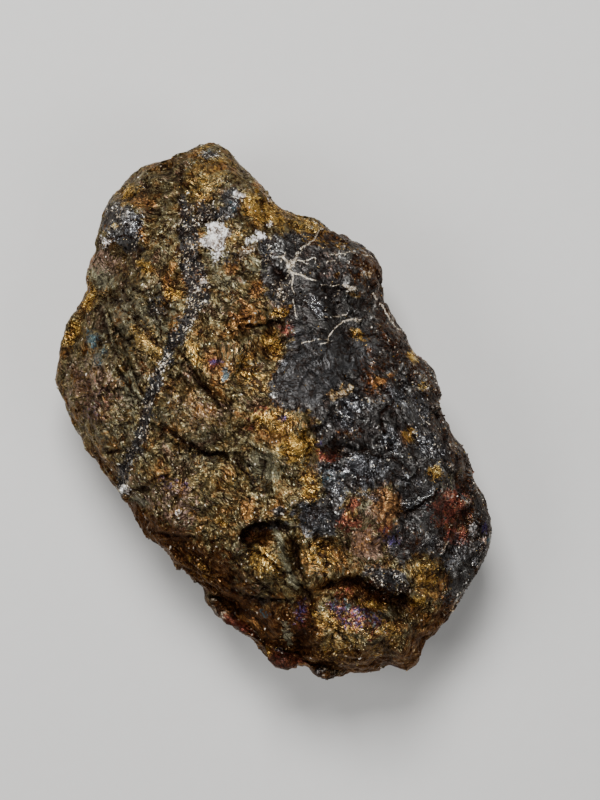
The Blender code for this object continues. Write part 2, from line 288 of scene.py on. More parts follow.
@dataclass(frozen=True)
class LumpForm:
    """The lump's shape: its edge, profile, breaks and relief, as the solid has them."""

    cells: tuple[int, int, int] = (105, 170, 105)
    rim_polar: float = math.radians(118.0)
    crown: float = 31.0
    keel: float = 26.0
    crown_fullness: float = 2.2
    keel_fullness: float = 2.5
    rim_waves: tuple = ((2.6, 1, 0.6), (2.0, 2, 1.9), (1.3, 5, 0.4), (0.8, 9, 2.2))
    edge: Line = (
        (-17.5, 68.0), (-14.0, 68.5), (-11.0, 67.0), (-8.5, 64.5), (-3.5, 59.8), (0.5, 54.8),
        (3.3, 52.3), (6.8, 50.8), (13.3, 48.8), (16.3, 45.8), (20.0, 44.8), (25.5, 41.5),
        (27.0, 38.5), (27.3, 33.0), (28.3, 28.8), (33.3, 22.3), (35.8, 17.5), (40.3, 11.3),
        (40.8, 6.3), (42.8, 1.8), (45.5, -4.0), (49.5, -8.8), (51.0, -15.5), (54.8, -24.3),
        (55.3, -27.5), (54.5, -32.0), (52.0, -37.0), (48.0, -43.3), (45.0, -47.5), (41.5, -52.0),
        (38.0, -55.0), (37.0, -59.0), (34.3, -62.3), (29.5, -60.8), (26.0, -62.0), (20.0, -62.8),
        (14.5, -64.5), (12.0, -63.8), (9.5, -61.3), (7.0, -60.5), (3.8, -61.5), (0.0, -59.0),
        (-3.8, -55.3), (-11.3, -49.8), (-14.5, -46.0), (-16.8, -41.8), (-23.5, -34.0),
        (-30.5, -29.0), (-33.0, -24.8), (-36.5, -19.0), (-43.5, -10.0), (-48.3, -3.5),
        (-51.5, 4.3), (-53.3, 10.5), (-52.5, 14.5), (-50.5, 23.5), (-48.0, 27.3), (-45.0, 32.5),
        (-45.8, 35.5), (-45.0, 39.0), (-43.0, 42.5), (-42.0, 51.0), (-40.3, 54.8),
        (-35.3, 60.8), (-32.3, 63.0), (-23.5, 65.3),
    )
    crown_cuts: tuple[Cut, ...] = rows(Cut,
        (228.0, 54.0, 35.5), (262.0, 46.0, 50.0), (165.0, 38.0, 45.5), (35.0, 46.0, 37.5),
        (352.0, 42.0, 45.5), (100.0, 36.0, 61.0), (305.0, 50.0, 54.0), (75.0, 78.0, 31.0),
        (250.0, 80.0, 30.5),
    )
    keel_cuts: tuple[Cut, ...] = rows(Cut,
        (200.0, -48.0, 33.0), (40.0, -42.0, 31.0), (290.0, -45.0, 44.0), (110.0, -50.0, 44.0),
        (345.0, -38.0, 40.0), (245.0, -35.0, 35.0),
    )
    swells: tuple[Swell, ...] = rows(Swell,
        (-44.0, 10.0, 14.0, 9.0, 95.0, 3.6), (-37.0, 50.0, 9.0, 7.0, 60.0, 2.4),
        (-29.0, 41.0, 9.0, 6.0, 20.0, 1.6), (-13.0, 60.0, 12.0, 8.0, 150.0, 2.6),
        (-31.0, 24.0, 11.0, 7.0, 130.0, 2.2), (21.0, 37.0, 10.0, 7.0, 120.0, 3.4),
        (-18.0, 1.0, 11.0, 7.5, 160.0, 3.4), (-9.0, 24.0, 15.0, 9.0, 100.0, 1.8),
        (5.0, -7.0, 9.0, 8.0, 60.0, 1.8), (14.0, 14.0, 13.0, 8.0, 120.0, 2.0),
        (31.0, 3.0, 11.0, 7.0, 115.0, 2.2), (40.0, -13.0, 13.0, 9.0, 110.0, 2.8),
        (23.0, -24.0, 13.0, 9.0, 20.0, 2.6), (-26.0, -20.0, 13.0, 8.0, 150.0, 2.0),
        (-2.0, -37.0, 10.0, 7.0, 60.0, 2.6), (-13.0, -32.0, 11.0, 6.0, 150.0, 1.6),
        (23.0, -55.0, 16.0, 10.0, 8.0, 6.8), (34.0, -59.0, 5.0, 4.0, 60.0, 2.4),
        (46.0, -31.0, 11.0, 7.0, 70.0, 2.4), (-38.0, 52.5, 4.0, 3.5, 0.0, 1.6),
        (-34.0, 45.0, 4.0, 3.5, 0.0, 1.6), (26.0, 1.0, 8.0, 5.0, 130.0, 1.2),
        (12.0, 29.0, 10.0, 6.0, 150.0, 1.2), (36.0, -40.0, 7.0, 5.0, 30.0, 1.6),
    )
    ledges: tuple[Ledge, ...] = rows(Ledge,
        (((-32.0, 8.5), (-36.3, 14.5), (-38.5, 19.0), (-40.3, 25.0), (-41.8, 30.0)), 1.6, 0.6, 4.0),
        (((-29.5, -1.0), (-26.0, -3.8), (-20.0, -7.3), (-16.0, -7.9), (-10.5, -8.8)), 2.6, 0.6, 5.0),
        (((-7.5, -31.5), (-6.3, -28.0), (-1.3, -25.3), (2.5, -25.6), (6.0, -28.5)), 2.4, 0.7, 3.2),
        (((-31.0, -27.0), (-20.0, -29.5), (-12.0, -36.0), (-9.0, -42.5), (-3.0, -45.2), (5.5, -45.6)),
            2.6, 0.5, 5.0),
        (((11.0, -41.5), (17.5, -39.3), (22.5, -38.8), (26.5, -41.8), (31.5, -44.5), (36.5, -45.5)),
            2.6, 0.6, 5.0),
        (((-33.0, -17.5), (-30.0, -15.5), (-23.5, -13.6)), 1.4, 0.3, 4.0),
        (((12.5, -6.0), (16.0, -6.8), (21.5, -7.3), (25.0, -8.2)), 0.6, 0.3, 3.0),
        (((-8.0, 23.3), (-3.5, 24.3), (2.5, 24.6)), 1.2, 0.3, 4.0),
        (((-46.0, 30.0), (-38.5, 33.0), (-33.5, 31.0), (-27.0, 28.0)), 1.2, 0.3, 4.0),
        (((30.5, -46.5), (36.0, -38.5), (42.5, -37.0), (46.5, -41.0)), 1.6, 0.4, 4.0),
        (((36.5, 13.0), (33.0, 6.5), (33.5, 1.0), (37.5, -6.5)), 1.4, 0.4, 4.5),
        (((-25.0, -31.5), (-17.0, -38.5), (-10.5, -46.0), (-2.0, -54.5)), 1.6, 0.4, 4.0),
        (((25.0, 27.5), (21.0, 23.0), (19.0, 17.0)), 0.6, 0.2, 4.0),
        (((-38.6, 31.1), (-35.8, 28.9), (-32.5, 26.1), (-29.2, 22.8), (-27.0, 20.0)), 1.2, 0.5, 2.5),
        (((-40.3, 27.8), (-38.0, 24.0), (-35.8, 20.0), (-32.5, 16.7), (-28.0, 14.0)), 1.2, 0.5, 2.5),
    )
    grooves: tuple[Groove, ...] = rows(Groove,
        (((12.0, -43.5), (17.5, -41.2), (22.5, -41.0), (27.0, -44.0), (34.5, -46.5)), 1.0, 2.2),
        (((5.8, -30.5), (6.8, -37.0), (8.3, -43.0), (10.0, -46.5)), 2.2, 1.5),
        (((-5.5, -28.5), (0.5, -27.0), (4.5, -28.8)), 1.2, 1.3),
        (((-30.0, 32.0), (-27.0, 28.0), (-23.5, 15.5), (-20.0, 11.5), (-14.0, 6.3)), 1.2, 1.2),
        (((15.8, -5.8), (19.5, -8.3), (24.0, -7.3)), 0.6, 1.0),
        (((-8.8, -8.8), (-4.5, -14.0), (-2.0, -17.5)), 0.7, 0.9),
        (((-14.3, 50.5), (-13.2, 49.5)), 2.0, 1.8), (((-34.5, 43.5), (-32.5, 42.5)), 1.8, 2.0),
        (((7.5, -54.0), (8.5, -58.0), (8.0, -62.0)), 2.4, 1.8),
        (((29.0, -57.0), (31.0, -62.0)), 1.6, 1.6), (((27.5, 5.5), (29.5, 2.0)), 0.9, 1.5),
        (((24.5, 42.0), (26.0, 38.0), (26.5, 33.0)), 1.0, 1.2),
    )
    bearings: int = 720
    rounded_waves: int = 5
    cut_fade: float = 0.35
    cut_depth: float = 0.85
    relief_fade: float = 0.3
    facet_box: tuple = ((-58.0, -68.0, -8.0), (58.0, 72.0, 58.0))
    facet_layers: tuple = ((16.0, 0.05, 11), (7.0, 0.065, 23))
    facet_limit: float = 1.5
    rough_layers: tuple = ((21.0, 1.3, 3.7), (8.0, 0.7, 41.3))
    edge_roughness: float = 0.25
    edge_band: float = 0.25

    def lattice(self) -> tuple[Array, Array]:
        """The surface of a box of cells, blown up to a ball.

        Returns:
            Unit directions, and the faces' corners, facing out.
        """
        count = np.array(self.cells)
        walls = []
        for axis in range(3):
            across, up = (axis + 1) % 3, (axis + 2) % 3
            i, j = np.meshgrid(np.arange(count[across]), np.arange(count[up]), indexing="ij")
            for far in (False, True):
                turns = ((0, 0), (1, 0), (1, 1), (0, 1)) if far else ((0, 0), (0, 1), (1, 1), (1, 0))
                wall = np.zeros((i.size, 4, 3), int)
                wall[:, :, axis] = count[axis] * far
                for corner, (di, dj) in enumerate(turns):
                    wall[:, corner, across] = i.ravel() + di
                    wall[:, corner, up] = j.ravel() + dj
                walls.append(wall)
        corners = np.concatenate(walls)
        spots, index = np.unique(corners.reshape(-1, 3), axis=0, return_inverse=True)
        spread = np.tan((spots / count * 2.0 - 1.0) * math.pi / 4.0)
        directions = spread / np.linalg.norm(spread, axis=1)[:, None]
        return directions, index.reshape(-1, 4)

    def edge_radius(self, angle: Array) -> tuple[Array, Array]:
        """Distance from the plan's middle to the edge.

        Args:
            angle: directions in the plan.

        Returns:
            The distances to the edge itself, and to the same edge with its corners rounded off.
        """
        points = np.array(self.edge)
        bearing = np.arctan2(points[:, 1], points[:, 0])
        order = np.argsort(bearing)
        reach = np.hypot(points[:, 0], points[:, 1])[order]
        turns = np.linspace(-math.pi, math.pi, self.bearings, endpoint=False)
        ring = np.interp(turns, bearing[order], reach, period=2.0 * math.pi)
        waves = np.fft.rfft(ring)
        waves[self.rounded_waves:] = 0.0
        rounded = np.fft.irfft(waves, len(turns))
        sharp = np.interp(angle, turns, ring, period=2.0 * math.pi)
        return sharp, np.interp(angle, turns, rounded, period=2.0 * math.pi)

    def pillow(self, directions: Array) -> tuple[Array, Array, Array]:
        """Places each direction on a pillow with the lump's edge.

        Args:
            directions: unit directions, with the long axis along Y.

        Returns:
            The points, their level over or under the rim, and whether they are above it.
        """
        angle = np.arctan2(directions[:, 1], directions[:, 0]) + PLAN_TURN
        polar = np.arccos(np.clip(directions[:, 2], -1.0, 1.0))
        above = polar <= self.rim_polar
        under = (math.pi - polar) / (math.pi - self.rim_polar)
        turn = np.where(above, polar / self.rim_polar, under) * math.pi / 2.0
        share = np.sin(turn)
        fullness = np.where(above, self.crown_fullness, self.keel_fullness)
        level = (1.0 - share**fullness) ** (1.0 / fullness)
        sharp, rounded = self.edge_radius(angle)
        reach = (rounded + (sharp - rounded) * share**5) * share
        height = RIM_HEIGHT + np.where(above, self.crown * level, -self.keel * level)
        for swing, count, start in self.rim_waves:
            height += swing * np.sin(count * angle + start) * share**3
        points = np.stack([reach * np.cos(angle), reach * np.sin(angle), height], axis=1)
        return points, level, above

    def cut(self, points: Array, level: Array, side: Array, cuts: tuple[Cut, ...]) -> None:
        """Lowers (or lifts, under the rim) the points that stand beyond each broad break.

        Args:
            points: the pillow's points, which are changed.
            level: how far each point is over or under the rim.
            side: the points that these breaks may move.
            cuts: the breaks.
        """
        inner = ease(0.0, self.cut_fade, level)
        for plane in cuts:
            azimuth = math.radians(plane.azimuth_deg)
            elevation = math.radians(plane.elevation_deg)
            across = math.cos(azimuth) * points[:, 0] + math.sin(azimuth) * points[:, 1]
            limit = RIM_HEIGHT + (plane.distance - math.cos(elevation) * across) / math.sin(elevation)
            over = np.maximum(0.0, (points[:, 2] - limit) * math.copysign(1.0, plane.elevation_deg))
            drop = np.copysign(over, plane.elevation_deg) * self.cut_depth * inner
            points[side, 2] -= drop[side]

    def facets(self, points: Array, size: float, tilt: float, seed: int) -> Array:
        """Height of broad broken faces: each point takes the tilted plane of its nearest seed.

        Args:
            points: places in millimetres.
            size: size of a face.
            tilt: how steep the faces are, as a slope.
            seed: the start of the random numbers.

        Returns:
            One height for each point.
        """
        random = np.random.default_rng(seed)
        low, high = np.array(self.facet_box)
        count = int(np.prod((high - low) / size + 1.0))
        seeds = low + random.random((count, 3)) * (high - low)
        tilts = random.normal(0.0, tilt, (count, 3))
        height = np.empty(len(points))
        for start in range(0, len(points), CHUNK):
            part = points[start:start + CHUNK]
            apart = ((part**2).sum(axis=1)[:, None] - 2.0 * part @ seeds.T + (seeds**2).sum(axis=1))
            first = apart.argmin(axis=1)
            height[start:start + CHUNK] = ((part - seeds[first]) * tilts[first]).sum(axis=1)
        limit = size * tilt * self.facet_limit
        return np.clip(height, -limit, limit)

    def surface(self) -> tuple[Array, Array, Array]:
        """The lump with its main relief, before the fine grain.

        Returns:
            The points in the face plan, the faces' corners, and how free each point is to move:
            least at the edge, which keeps its outline.
        """
        directions, quads = self.lattice()
        points, level, above = self.pillow(directions)
        self.cut(points, level, above, self.crown_cuts)
        self.cut(points, level, ~above, self.keel_cuts)
        places = seen_from_above(points)
        relief = sum(form.lift(places) for form in self.swells + self.ledges + self.grooves)
        points[:, 2] += relief * above * ease(0.0, self.relief_fade, level)
        normals = vertex_normals(points, quads)
        rough = sum(self.facets(points, *layer) for layer in self.facet_layers)
        for size, height, start in self.rough_layers:
            rough = rough + height * layered(points, size, start)
        free = self.edge_roughness + (1.0 - self.edge_roughness) * ease(0.0, self.edge_band, level)
        return points + normals * (rough * free)[:, None], quads, free


def vertex_normals(points: Array, quads: Array) -> Array:
    """Unit normals of a mesh of four-cornered faces.

    Args:
        points: the mesh's points.
        quads: the faces' corners.

    Returns:
        The normal at each point.
    """
    a, b, c, d = (points[quads[:, k]] for k in range(4))
    facing = np.cross(c - a, d - b)
    total = np.zeros_like(points)
    for k in range(3):
        for corner in range(4):
            total[:, k] += np.bincount(quads[:, corner], facing[:, k], len(points))
    return total / np.maximum(np.linalg.norm(total, axis=1), 1e-12)[:, None]


def smoothed(values: Array, quads: Array, rounds: int) -> Array:
    """Averages values at the points with those of their neighbours.

    Args:
        values: one row for each point.
        quads: the faces' corners.
        rounds: how many times.

    Returns:
        The smoother values.
    """
    ends = np.concatenate([quads[:, [k, (k + 1) % 4]] for k in range(4)])
    count = np.bincount(ends[:, 0], minlength=len(values))
    for _ in range(rounds):
        near = np.stack([
            np.bincount(ends[:, 0], column[ends[:, 1]], len(values)) for column in values.T
        ], axis=1)
        values = (values + near / count[:, None]) / 2.0
    return values


def to_part(points: Array, offset: Array) -> Array:
    """Turns and moves plan points to the part's own place.

    Args:
        points: points in the face plan, in millimetres.
        offset: the move after the turn, in millimetres.

    Returns:
        The points in metres.
    """
    x = points[:, 0] * math.cos(PLAN_TURN) + points[:, 1] * math.sin(PLAN_TURN)
    y = points[:, 1] * math.cos(PLAN_TURN) - points[:, 0] * math.sin(PLAN_TURN)
    return (np.stack([x, y, points[:, 2]], axis=1) + offset) * MM


class Zone(Enum):
    """The kinds of ground on the lump. The values name the masks on the meshes."""

    DARK = "dark_sulphide"
    SLATE = "slate"
    UMBER = "umber"
    GREEN = "grey_green"
    MAUVE = "mauve_brown"
    RUST = "rust"
    GOLD = "gold"
    TEAL = "teal"
    CRIMSON = "crimson"
    VIOLET = "violet"
    SILVER = "silver"
    VEIN = "speckled_vein"
    CREAM = "cream"
    QUARTZ = "quartz"


class Shaped:
    """One shape of a zone on the face. Its edge wanders and is torn."""

    low: ClassVar[float]
    high: ClassVar[float]
    tear: ClassVar[float] = 0.6
    strength: float

    def cover(self, places: Array, wander: Array, ragged: Array) -> Array:
        """How far the zone covers each place.

        Args:
            places: places in the face plan.
            wander: moves that let the edge wander.
            ragged: noise that tears the edge.

        Returns:
            The cover, from 0 to 1.
        """
        places = places + wander * min(1.0, self.breadth() / WANDER_WIDTH)
        return self.strength * ease(self.low, self.high, self.depth(places) + self.tear * ragged)


@dataclass(frozen=True)
class Patch(Shaped, Oval):
    """An oval of one zone, with its strength."""

    turn_deg: float = 0.0
    strength: float = 1.0
    low: ClassVar[float] = -0.55
    high: ClassVar[float] = 0.55

    def breadth(self) -> float:
        """The width that a wandering edge is held to."""
        return self.half_width

    def depth(self, places: Array) -> Array:
        """How deep each place lies in the oval: 1 in the middle, and below 0 outside."""
        return 1.0 - np.hypot(*self.shares(places))


@dataclass(frozen=True)
class Streak(Shaped):
    """A line of one zone: its corners, half width and strength."""

    points: Line
    half_width: float
    strength: float = 1.0
    low: ClassVar[float] = -0.3
    high: ClassVar[float] = 0.4

    def breadth(self) -> float:
        """The width that a wandering edge is held to."""
        return self.half_width

    def depth(self, places: Array) -> Array:
        """How deep each place lies in the line: 1 on it, and below 0 outside."""
        return 1.0 - along(places, self.points)[0] / self.half_width


@dataclass(frozen=True)
class Field(Shaped):
    """A large area of one zone inside a ring of corners, with the width of its border."""

    ring: Line
    border: float
    strength: float = 1.0
    low: ClassVar[float] = -0.5
    high: ClassVar[float] = 0.5
    tear: ClassVar[float] = 0.8

    def breadth(self) -> float:
        """The width that a wandering edge is held to."""
        return self.border

    def depth(self, places: Array) -> Array:
        """How deep each place lies inside the ring, in widths of the border."""
        return inside(places, self.ring) / self.border


def ground(*shapes: object) -> tuple[Shaped, ...]:
    """The shapes of one zone. A bare row of numbers is an oval patch."""
    return tuple(Patch(*shape) if isinstance(shape, tuple) else shape for shape in shapes)


@dataclass(frozen=True)
class Hidden:
    """How one zone is spread where the face's own zones don't reach."""

    size: float
    start: float
    low: float
    high: float

    def cover(self, points: Array) -> Array:
        """How far the zone covers each point, from 0 to 1."""
        return ease(self.low, self.high, layered(points, self.size, self.start))


ZONES: dict[Zone, tuple[Shaped, ...]] = {
    Zone.DARK: ground(
        Field(((10.0, 49.5), (5.0, 47.0), (-2.0, 45.0), (-3.0, 39.5), (-2.0, 33.5), (-0.5, 30.0),
            (4.0, 25.0), (5.5, 20.0), (4.0, 17.0), (1.0, 13.5), (0.0, 9.0), (0.0, 4.0), (4.0, 2.0),
            (10.0, 1.0), (11.5, -1.2), (8.6, -3.4), (11.2, -5.4), (12.6, -8.4), (14.8, -10.0),
            (9.8, -12.4), (14.0, -15.0), (13.6, -18.4), (8.0, -20.5), (6.0, -23.5), (7.5, -27.5),
            (12.0, -30.0), (16.5, -28.5), (18.5, -21.0), (21.5, -17.5), (31.0, -16.5), (33.5, -22.0),
            (30.0, -27.5), (29.0, -31.0), (33.0, -35.0), (37.5, -34.0), (42.5, -35.0), (44.5, -38.0),
            (44.0, -42.5), (43.0, -46.0), (44.0, -52.0), (66.0, -50.0), (62.0, 0.0), (50.0, 30.0),
            (32.0, 50.0), (20.0, 56.0)), 2.6),
        Field(((-41.5, 53.8), (-38.0, 55.0), (-35.5, 53.8), (-33.3, 49.5), (-31.5, 45.0), (-32.3, 42.5),
            (-35.0, 42.3), (-38.0, 44.3), (-40.5, 45.0), (-42.3, 48.0)), 1.8),
        Field(((-12.0, 57.8), (-9.5, 58.3), (-6.5, 57.0), (-6.0, 53.8), (-8.0, 51.5), (-10.5, 49.5),
            (-13.5, 49.0), (-14.0, 51.5), (-12.0, 53.5), (-12.8, 56.0)), 1.4),
        (2.2, -22.8, 1.6, 1.4), (29.0, -40.2, 7.0, 3.6, -14.0, 0.9), (-0.5, -26.8, 5.0, 1.2, 0.0),
        (-5.0, -44.5, 6.0, 1.0, -8.0, 0.7), (8.6, -49.5, 1.5, 3.0, -10.0, 0.8),
        (-2.0, -48.0, 2.4, 1.0, -20.0, 0.6),
    ),
    Zone.SLATE: ground(
        Field(((3.5, 24.0), (6.0, 19.0), (3.0, 14.0), (1.0, 8.0), (5.0, 4.0), (11.0, 3.0), (15.0, 6.0),
            (17.0, 12.0), (24.0, 13.0), (28.0, 19.0), (24.0, 23.0), (15.0, 20.0), (9.0, 22.5)), 2.0, 0.9),
        (13.0, 32.0, 3.0, 4.0, 0.0, 0.4), (29.0, -12.0, 4.0, 5.0, 0.0, 0.5),
        (41.0, -24.0, 4.0, 4.0, 0.0, 0.5), (10.5, -25.5, 4.0, 2.5, -20.0, 0.6),
    ),
    Zone.UMBER: ground(
        # The lower part, darker towards the bottom: the stone's dark brown, and partly painted shade.
        Field(((-37.0, -17.0), (-27.0, -24.5), (-18.0, -29.5), (-10.0, -33.0), (-8.0, -40.0),
            (-2.0, -45.5), (6.0, -46.0), (11.0, -45.0), (13.0, -50.0), (13.0, -55.5), (20.0, -58.5),
            (30.0, -58.0), (35.0, -55.0), (40.0, -49.0), (46.0, -45.0), (56.0, -60.0), (30.0, -78.0),
            (0.0, -78.0), (-45.0, -50.0)), 4.0, 0.95),
        # The first oval darkens the broad recess above the lower lump: painted shade.
        (24.0, -42.5, 11.0, 3.0, -8.0, 0.85), (22.0, -58.5, 10.0, 3.0, 3.0, 0.7),
        (-2.0, -29.0, 5.0, 2.4, 0.0, 0.7), (25.0, 38.0, 5.0, 5.0, 0.0, 0.7),
        (15.0, 45.5, 6.0, 2.4, -10.0, 0.6),
        Streak(((27.0, 33.0), (33.0, 20.0), (39.0, 10.0), (42.0, 0.0), (47.0, -8.0), (50.0, -16.0)),
            4.5, 0.4),
        (27.0, 10.0, 7.0, 5.0, 120.0, 0.5), (30.0, 21.0, 4.0, 7.0, 20.0, 0.45),
        (20.0, -3.0, 4.0, 1.6, 0.0, 0.5), (16.0, -8.5, 3.5, 2.0, -10.0, 0.6),
        (47.0, -26.0, 8.0, 6.0, 70.0, 0.6), (36.0, -30.0, 5.0, 4.0, 0.0, 0.35),
        (-3.0, -36.0, 6.0, 5.0, 60.0, 0.4), (-24.0, -21.0, 7.0, 4.0, -25.0, 0.3),
        (12.0, -36.0, 5.0, 6.0, 0.0, 0.35),
        Streak(((-44.0, -8.0), (-38.0, -16.0), (-33.0, -23.0)), 2.0, 0.6),
        Streak(((-37.5, 32.0), (-33.0, 27.0), (-35.5, 20.0), (-31.0, 12.0)), 1.0, 0.6),
    ),
    Zone.VEIN: ground(
        Streak(((-21.8, 56.0), (-21.3, 53.8), (-21.3, 48.8), (-21.3, 43.8), (-20.0, 38.8), (-20.5, 33.8),
            (-19.3, 29.5), (-20.5, 26.0), (-22.3, 22.5), (-25.0, 18.5), (-25.5, 15.5), (-28.0, 12.0),
            (-29.5, 7.0), (-30.5, 3.0), (-31.0, -0.5), (-32.3, -4.5), (-34.5, -8.0), (-36.3, -12.5),
            (-37.0, -15.5), (-38.5, -19.0)), 1.1),
        Streak(((-20.5, 51.0), (-20.0, 44.0), (-19.0, 38.0), (-18.5, 30.0), (-21.0, 24.5)), 2.3, 0.9),
        Streak(((-28.6, 10.0), (-30.5, 3.0), (-31.4, -1.0), (-33.0, -6.0), (-35.0, -9.6),
            (-36.6, -14.0)), 1.7, 1.0),
        (-18.1, 29.8, 2.1, 1.7), (-16.0, 51.5, 5.0, 2.6, 15.0, 0.75), (-8.0, 41.0, 4.0, 1.5, 35.0, 0.6),
        (-28.7, 28.4, 2.2, 2.6, 0.0, 0.6), (-2.0, 43.0, 2.0, 3.5, 20.0, 0.8),
        # The first oval darkens the pit in the recess above the lower lump: painted shade.
        (29.5, -40.5, 4.6, 2.4, -14.0, 0.6), (-38.6, 51.8, 2.2, 1.6, 40.0, 0.6),
        (-33.4, 45.4, 2.0, 1.6, 0.0, 0.6),
    ),
    Zone.QUARTZ: ground(
        Field(((-15.4, 48.8), (-14.0, 49.2), (-12.5, 49.3), (-10.4, 48.2), (-9.3, 46.5), (-11.2, 45.2),
            (-11.4, 43.0), (-13.0, 42.4), (-16.7, 42.9), (-17.6, 44.4), (-17.1, 45.7), (-15.4, 45.8),
            (-15.0, 47.2)), 0.8),
        (-13.6, 40.8, 1.5, 1.8, 0.0, 0.62),
        Streak(((-5.8, 44.3), (-4.2, 44.9), (-2.7, 46.2)), 0.5, 0.9),
        (-2.7, 46.1, 1.0, 0.9, 35.0), (-7.5, 56.3, 1.4, 0.8, -20.0), (-41.4, 44.3, 0.8, 0.7),
        (-35.0, 49.3, 0.5, 0.7, 0.0, 0.8), (-17.0, 35.0, 1.0, 0.8, -30.0, 0.75),
        (-18.2, 32.8, 0.7, 0.5, 0.0, 0.7), (-36.0, -16.8, 1.3, 0.8, -35.0, 0.9),
        (-22.9, -23.2, 0.7, 0.5, 30.0, 0.8), (50.8, -27.6, 0.9, 1.4, 10.0, 0.8),
        (42.6, -30.8, 0.6, 0.9, 20.0, 0.6), (-0.3, 55.3, 0.5, 0.5, 0.0, 0.8),
        (-0.3, 48.8, 0.5, 0.6, 0.0, 0.8), (5.9, -59.6, 0.8, 0.7, 0.0, 0.6),
    ),
    Zone.CREAM: ground(
        (20.4, 32.9, 1.3, 0.6, -12.0, 0.8), (5.1, 38.6, 0.9, 0.7, 50.0),
        (18.0, 6.8, 3.0, 1.3, 20.0, 0.45), (-5.5, 42.5, 3.0, 1.0, 40.0, 0.45),
        (1.8, 31.5, 1.6, 3.2, 10.0, 0.35), (-17.0, 35.0, 1.0, 0.7, -20.0, 0.9),
        (-18.1, 32.4, 0.8, 0.6, 0.0, 0.8),
    ),
    Zone.VIOLET: ground(
        (17.3, -47.4, 2.4, 1.4, -20.0, 0.55), (22.6, -48.0, 3.0, 1.6, -25.0, 0.5),
        (26.5, -50.3, 2.4, 1.2, -30.0, 0.5), (20.5, -51.0, 4.0, 1.8, -20.0, 0.4),
        (7.5, -48.5, 1.6, 2.6, -10.0, 0.6), (-13.4, 14.4, 1.4, 1.0, 0.0, 0.6),
        (12.5, -6.0, 1.2, 0.9, 0.0, 0.6), (3.2, 0.6, 1.0, 0.8, 0.0, 0.5),
        (-43.5, 3.0, 5.0, 4.0, 60.0, 0.2), (-24.0, -16.0, 5.0, 2.0, -25.0, 0.25),
        (30.0, -29.5, 3.0, 1.6, -20.0, 0.4),
    ),
    Zone.SILVER: ground(
        (32.0, 6.3, 2.4, 2.8, 60.0, 0.9), (30.5, -5.3, 2.2, 3.0, 40.0, 0.9),
        (18.6, 0.3, 3.0, 2.4, -20.0, 0.8), (23.0, -12.0, 5.0, 3.4, -30.0, 0.95),
        (16.5, -15.5, 2.0, 4.0, 15.0, 0.7), (40.0, -6.5, 2.6, 4.2, 60.0, 0.9),
        (21.0, 4.5, 4.0, 1.8, -20.0, 0.7), (11.8, 28.2, 3.0, 1.3, -55.0, 1.0),
        (37.5, 2.5, 2.0, 4.0, 20.0, 0.7), (11.4, -24.0, 5.0, 2.8, -25.0, 0.5),
        (36.5, -21.0, 3.0, 1.2, 10.0, 0.8), (40.7, -18.1, 1.8, 0.9, 10.0, 0.9),
        (24.5, -19.0, 3.0, 1.2, -20.0, 0.6), (35.0, -15.0, 3.0, 1.6, -20.0, 0.5),
        (47.0, -33.0, 4.0, 3.0, 60.0, 0.6), (40.0, -31.0, 2.6, 2.0, 60.0, 0.5),
        (3.0, 14.0, 1.2, 0.8, 0.0, 0.8), (-24.0, -20.5, 6.0, 3.5, -25.0, 0.2),
        (26.5, -11.0, 3.2, 2.6, -20.0, 0.7), (-34.6, 49.0, 2.2, 2.6, 0.0, 0.8),
        (-38.5, 45.6, 3.0, 1.2, 0.0, 0.5), (-15.0, 66.3, 2.2, 0.8, 0.0, 0.8),
        (-22.5, 21.4, 2.2, 1.7, 60.0, 0.9), (-25.2, 15.0, 1.3, 1.1, 0.0, 0.8),
        (-9.0, 54.0, 1.6, 1.6, 0.0, 0.6), (6.0, 20.0, 2.0, 1.6, 0.0, 0.4),
    ),
    Zone.GOLD: ground(
        (-15.0, 63.0, 6.0, 5.5, 0.0, 0.38), (-17.5, 58.0, 4.0, 3.2, 0.0, 0.5),
        (-1.5, 52.6, 6.4, 3.4, -30.0, 0.95), (9.0, 48.5, 5.0, 2.0, -20.0, 0.6),
        (-35.2, 56.6, 3.0, 2.0, 20.0, 0.7), (-38.4, 48.6, 2.4, 0.5, 10.0, 0.6),
        (-49.7, 21.7, 2.0, 3.4, -20.0, 0.9), (-45.0, 30.7, 1.6, 3.2, -20.0, 0.8),
        (-24.8, 31.1, 1.9, 1.7, 0.0, 1.0), (-31.5, 38.3, 2.2, 1.3, -20.0, 0.9),
        (-31.0, 19.5, 6.0, 3.2, -50.0, 0.5), (-19.0, 17.0, 2.0, 4.5, 30.0, 0.55),
        (6.5, -7.2, 4.8, 4.2, 20.0, 0.95), (2.0, -1.0, 5.0, 3.0, -10.0, 0.5),
        (-2.0, 0.6, 2.6, 1.8, -10.0, 0.8), (9.9, -16.8, 2.2, 3.2, 10.0, 0.9),
        (2.6, 27.2, 2.6, 1.5, 10.0, 0.9), (0.8, 18.6, 2.2, 4.0, 10.0, 0.8),
        (-5.0, 11.5, 3.0, 5.0, 30.0, 0.5), (22.2, 21.3, 2.2, 1.4, -30.0, 0.9),
        (16.8, 36.3, 0.7, 0.7, 0.0, 0.8), (20.8, 31.2, 1.6, 0.6, -25.0, 0.6),
        (35.6, 16.0, 1.6, 1.1, -30.0, 0.9), (38.3, 8.8, 1.4, 1.6, 0.0, 0.55),
        (41.0, -12.6, 1.9, 1.5, -30.0, 1.0), (35.2, -4.0, 1.6, 2.2, 30.0, 0.6),
        (12.5, -34.0, 3.4, 5.0, 20.0, 0.5), (-1.5, -35.4, 4.4, 3.6, -30.0, 0.6),
        (-12.1, -25.9, 1.3, 1.1, 0.0, 0.8), (-10.0, -14.0, 9.0, 4.0, -10.0, 0.3),
        (-16.7, -37.3, 5.0, 1.6, -45.0, 0.25), (39.4, -38.5, 3.4, 4.6, 0.0, 0.55),
        (37.6, -45.4, 2.2, 1.2, 0.0, 0.9), (25.4, -46.0, 4.0, 0.9, -12.0, 0.7),
        (18.5, -56.0, 7.0, 3.4, 10.0, 0.35), (28.5, -57.0, 5.0, 2.4, 10.0, 0.3),
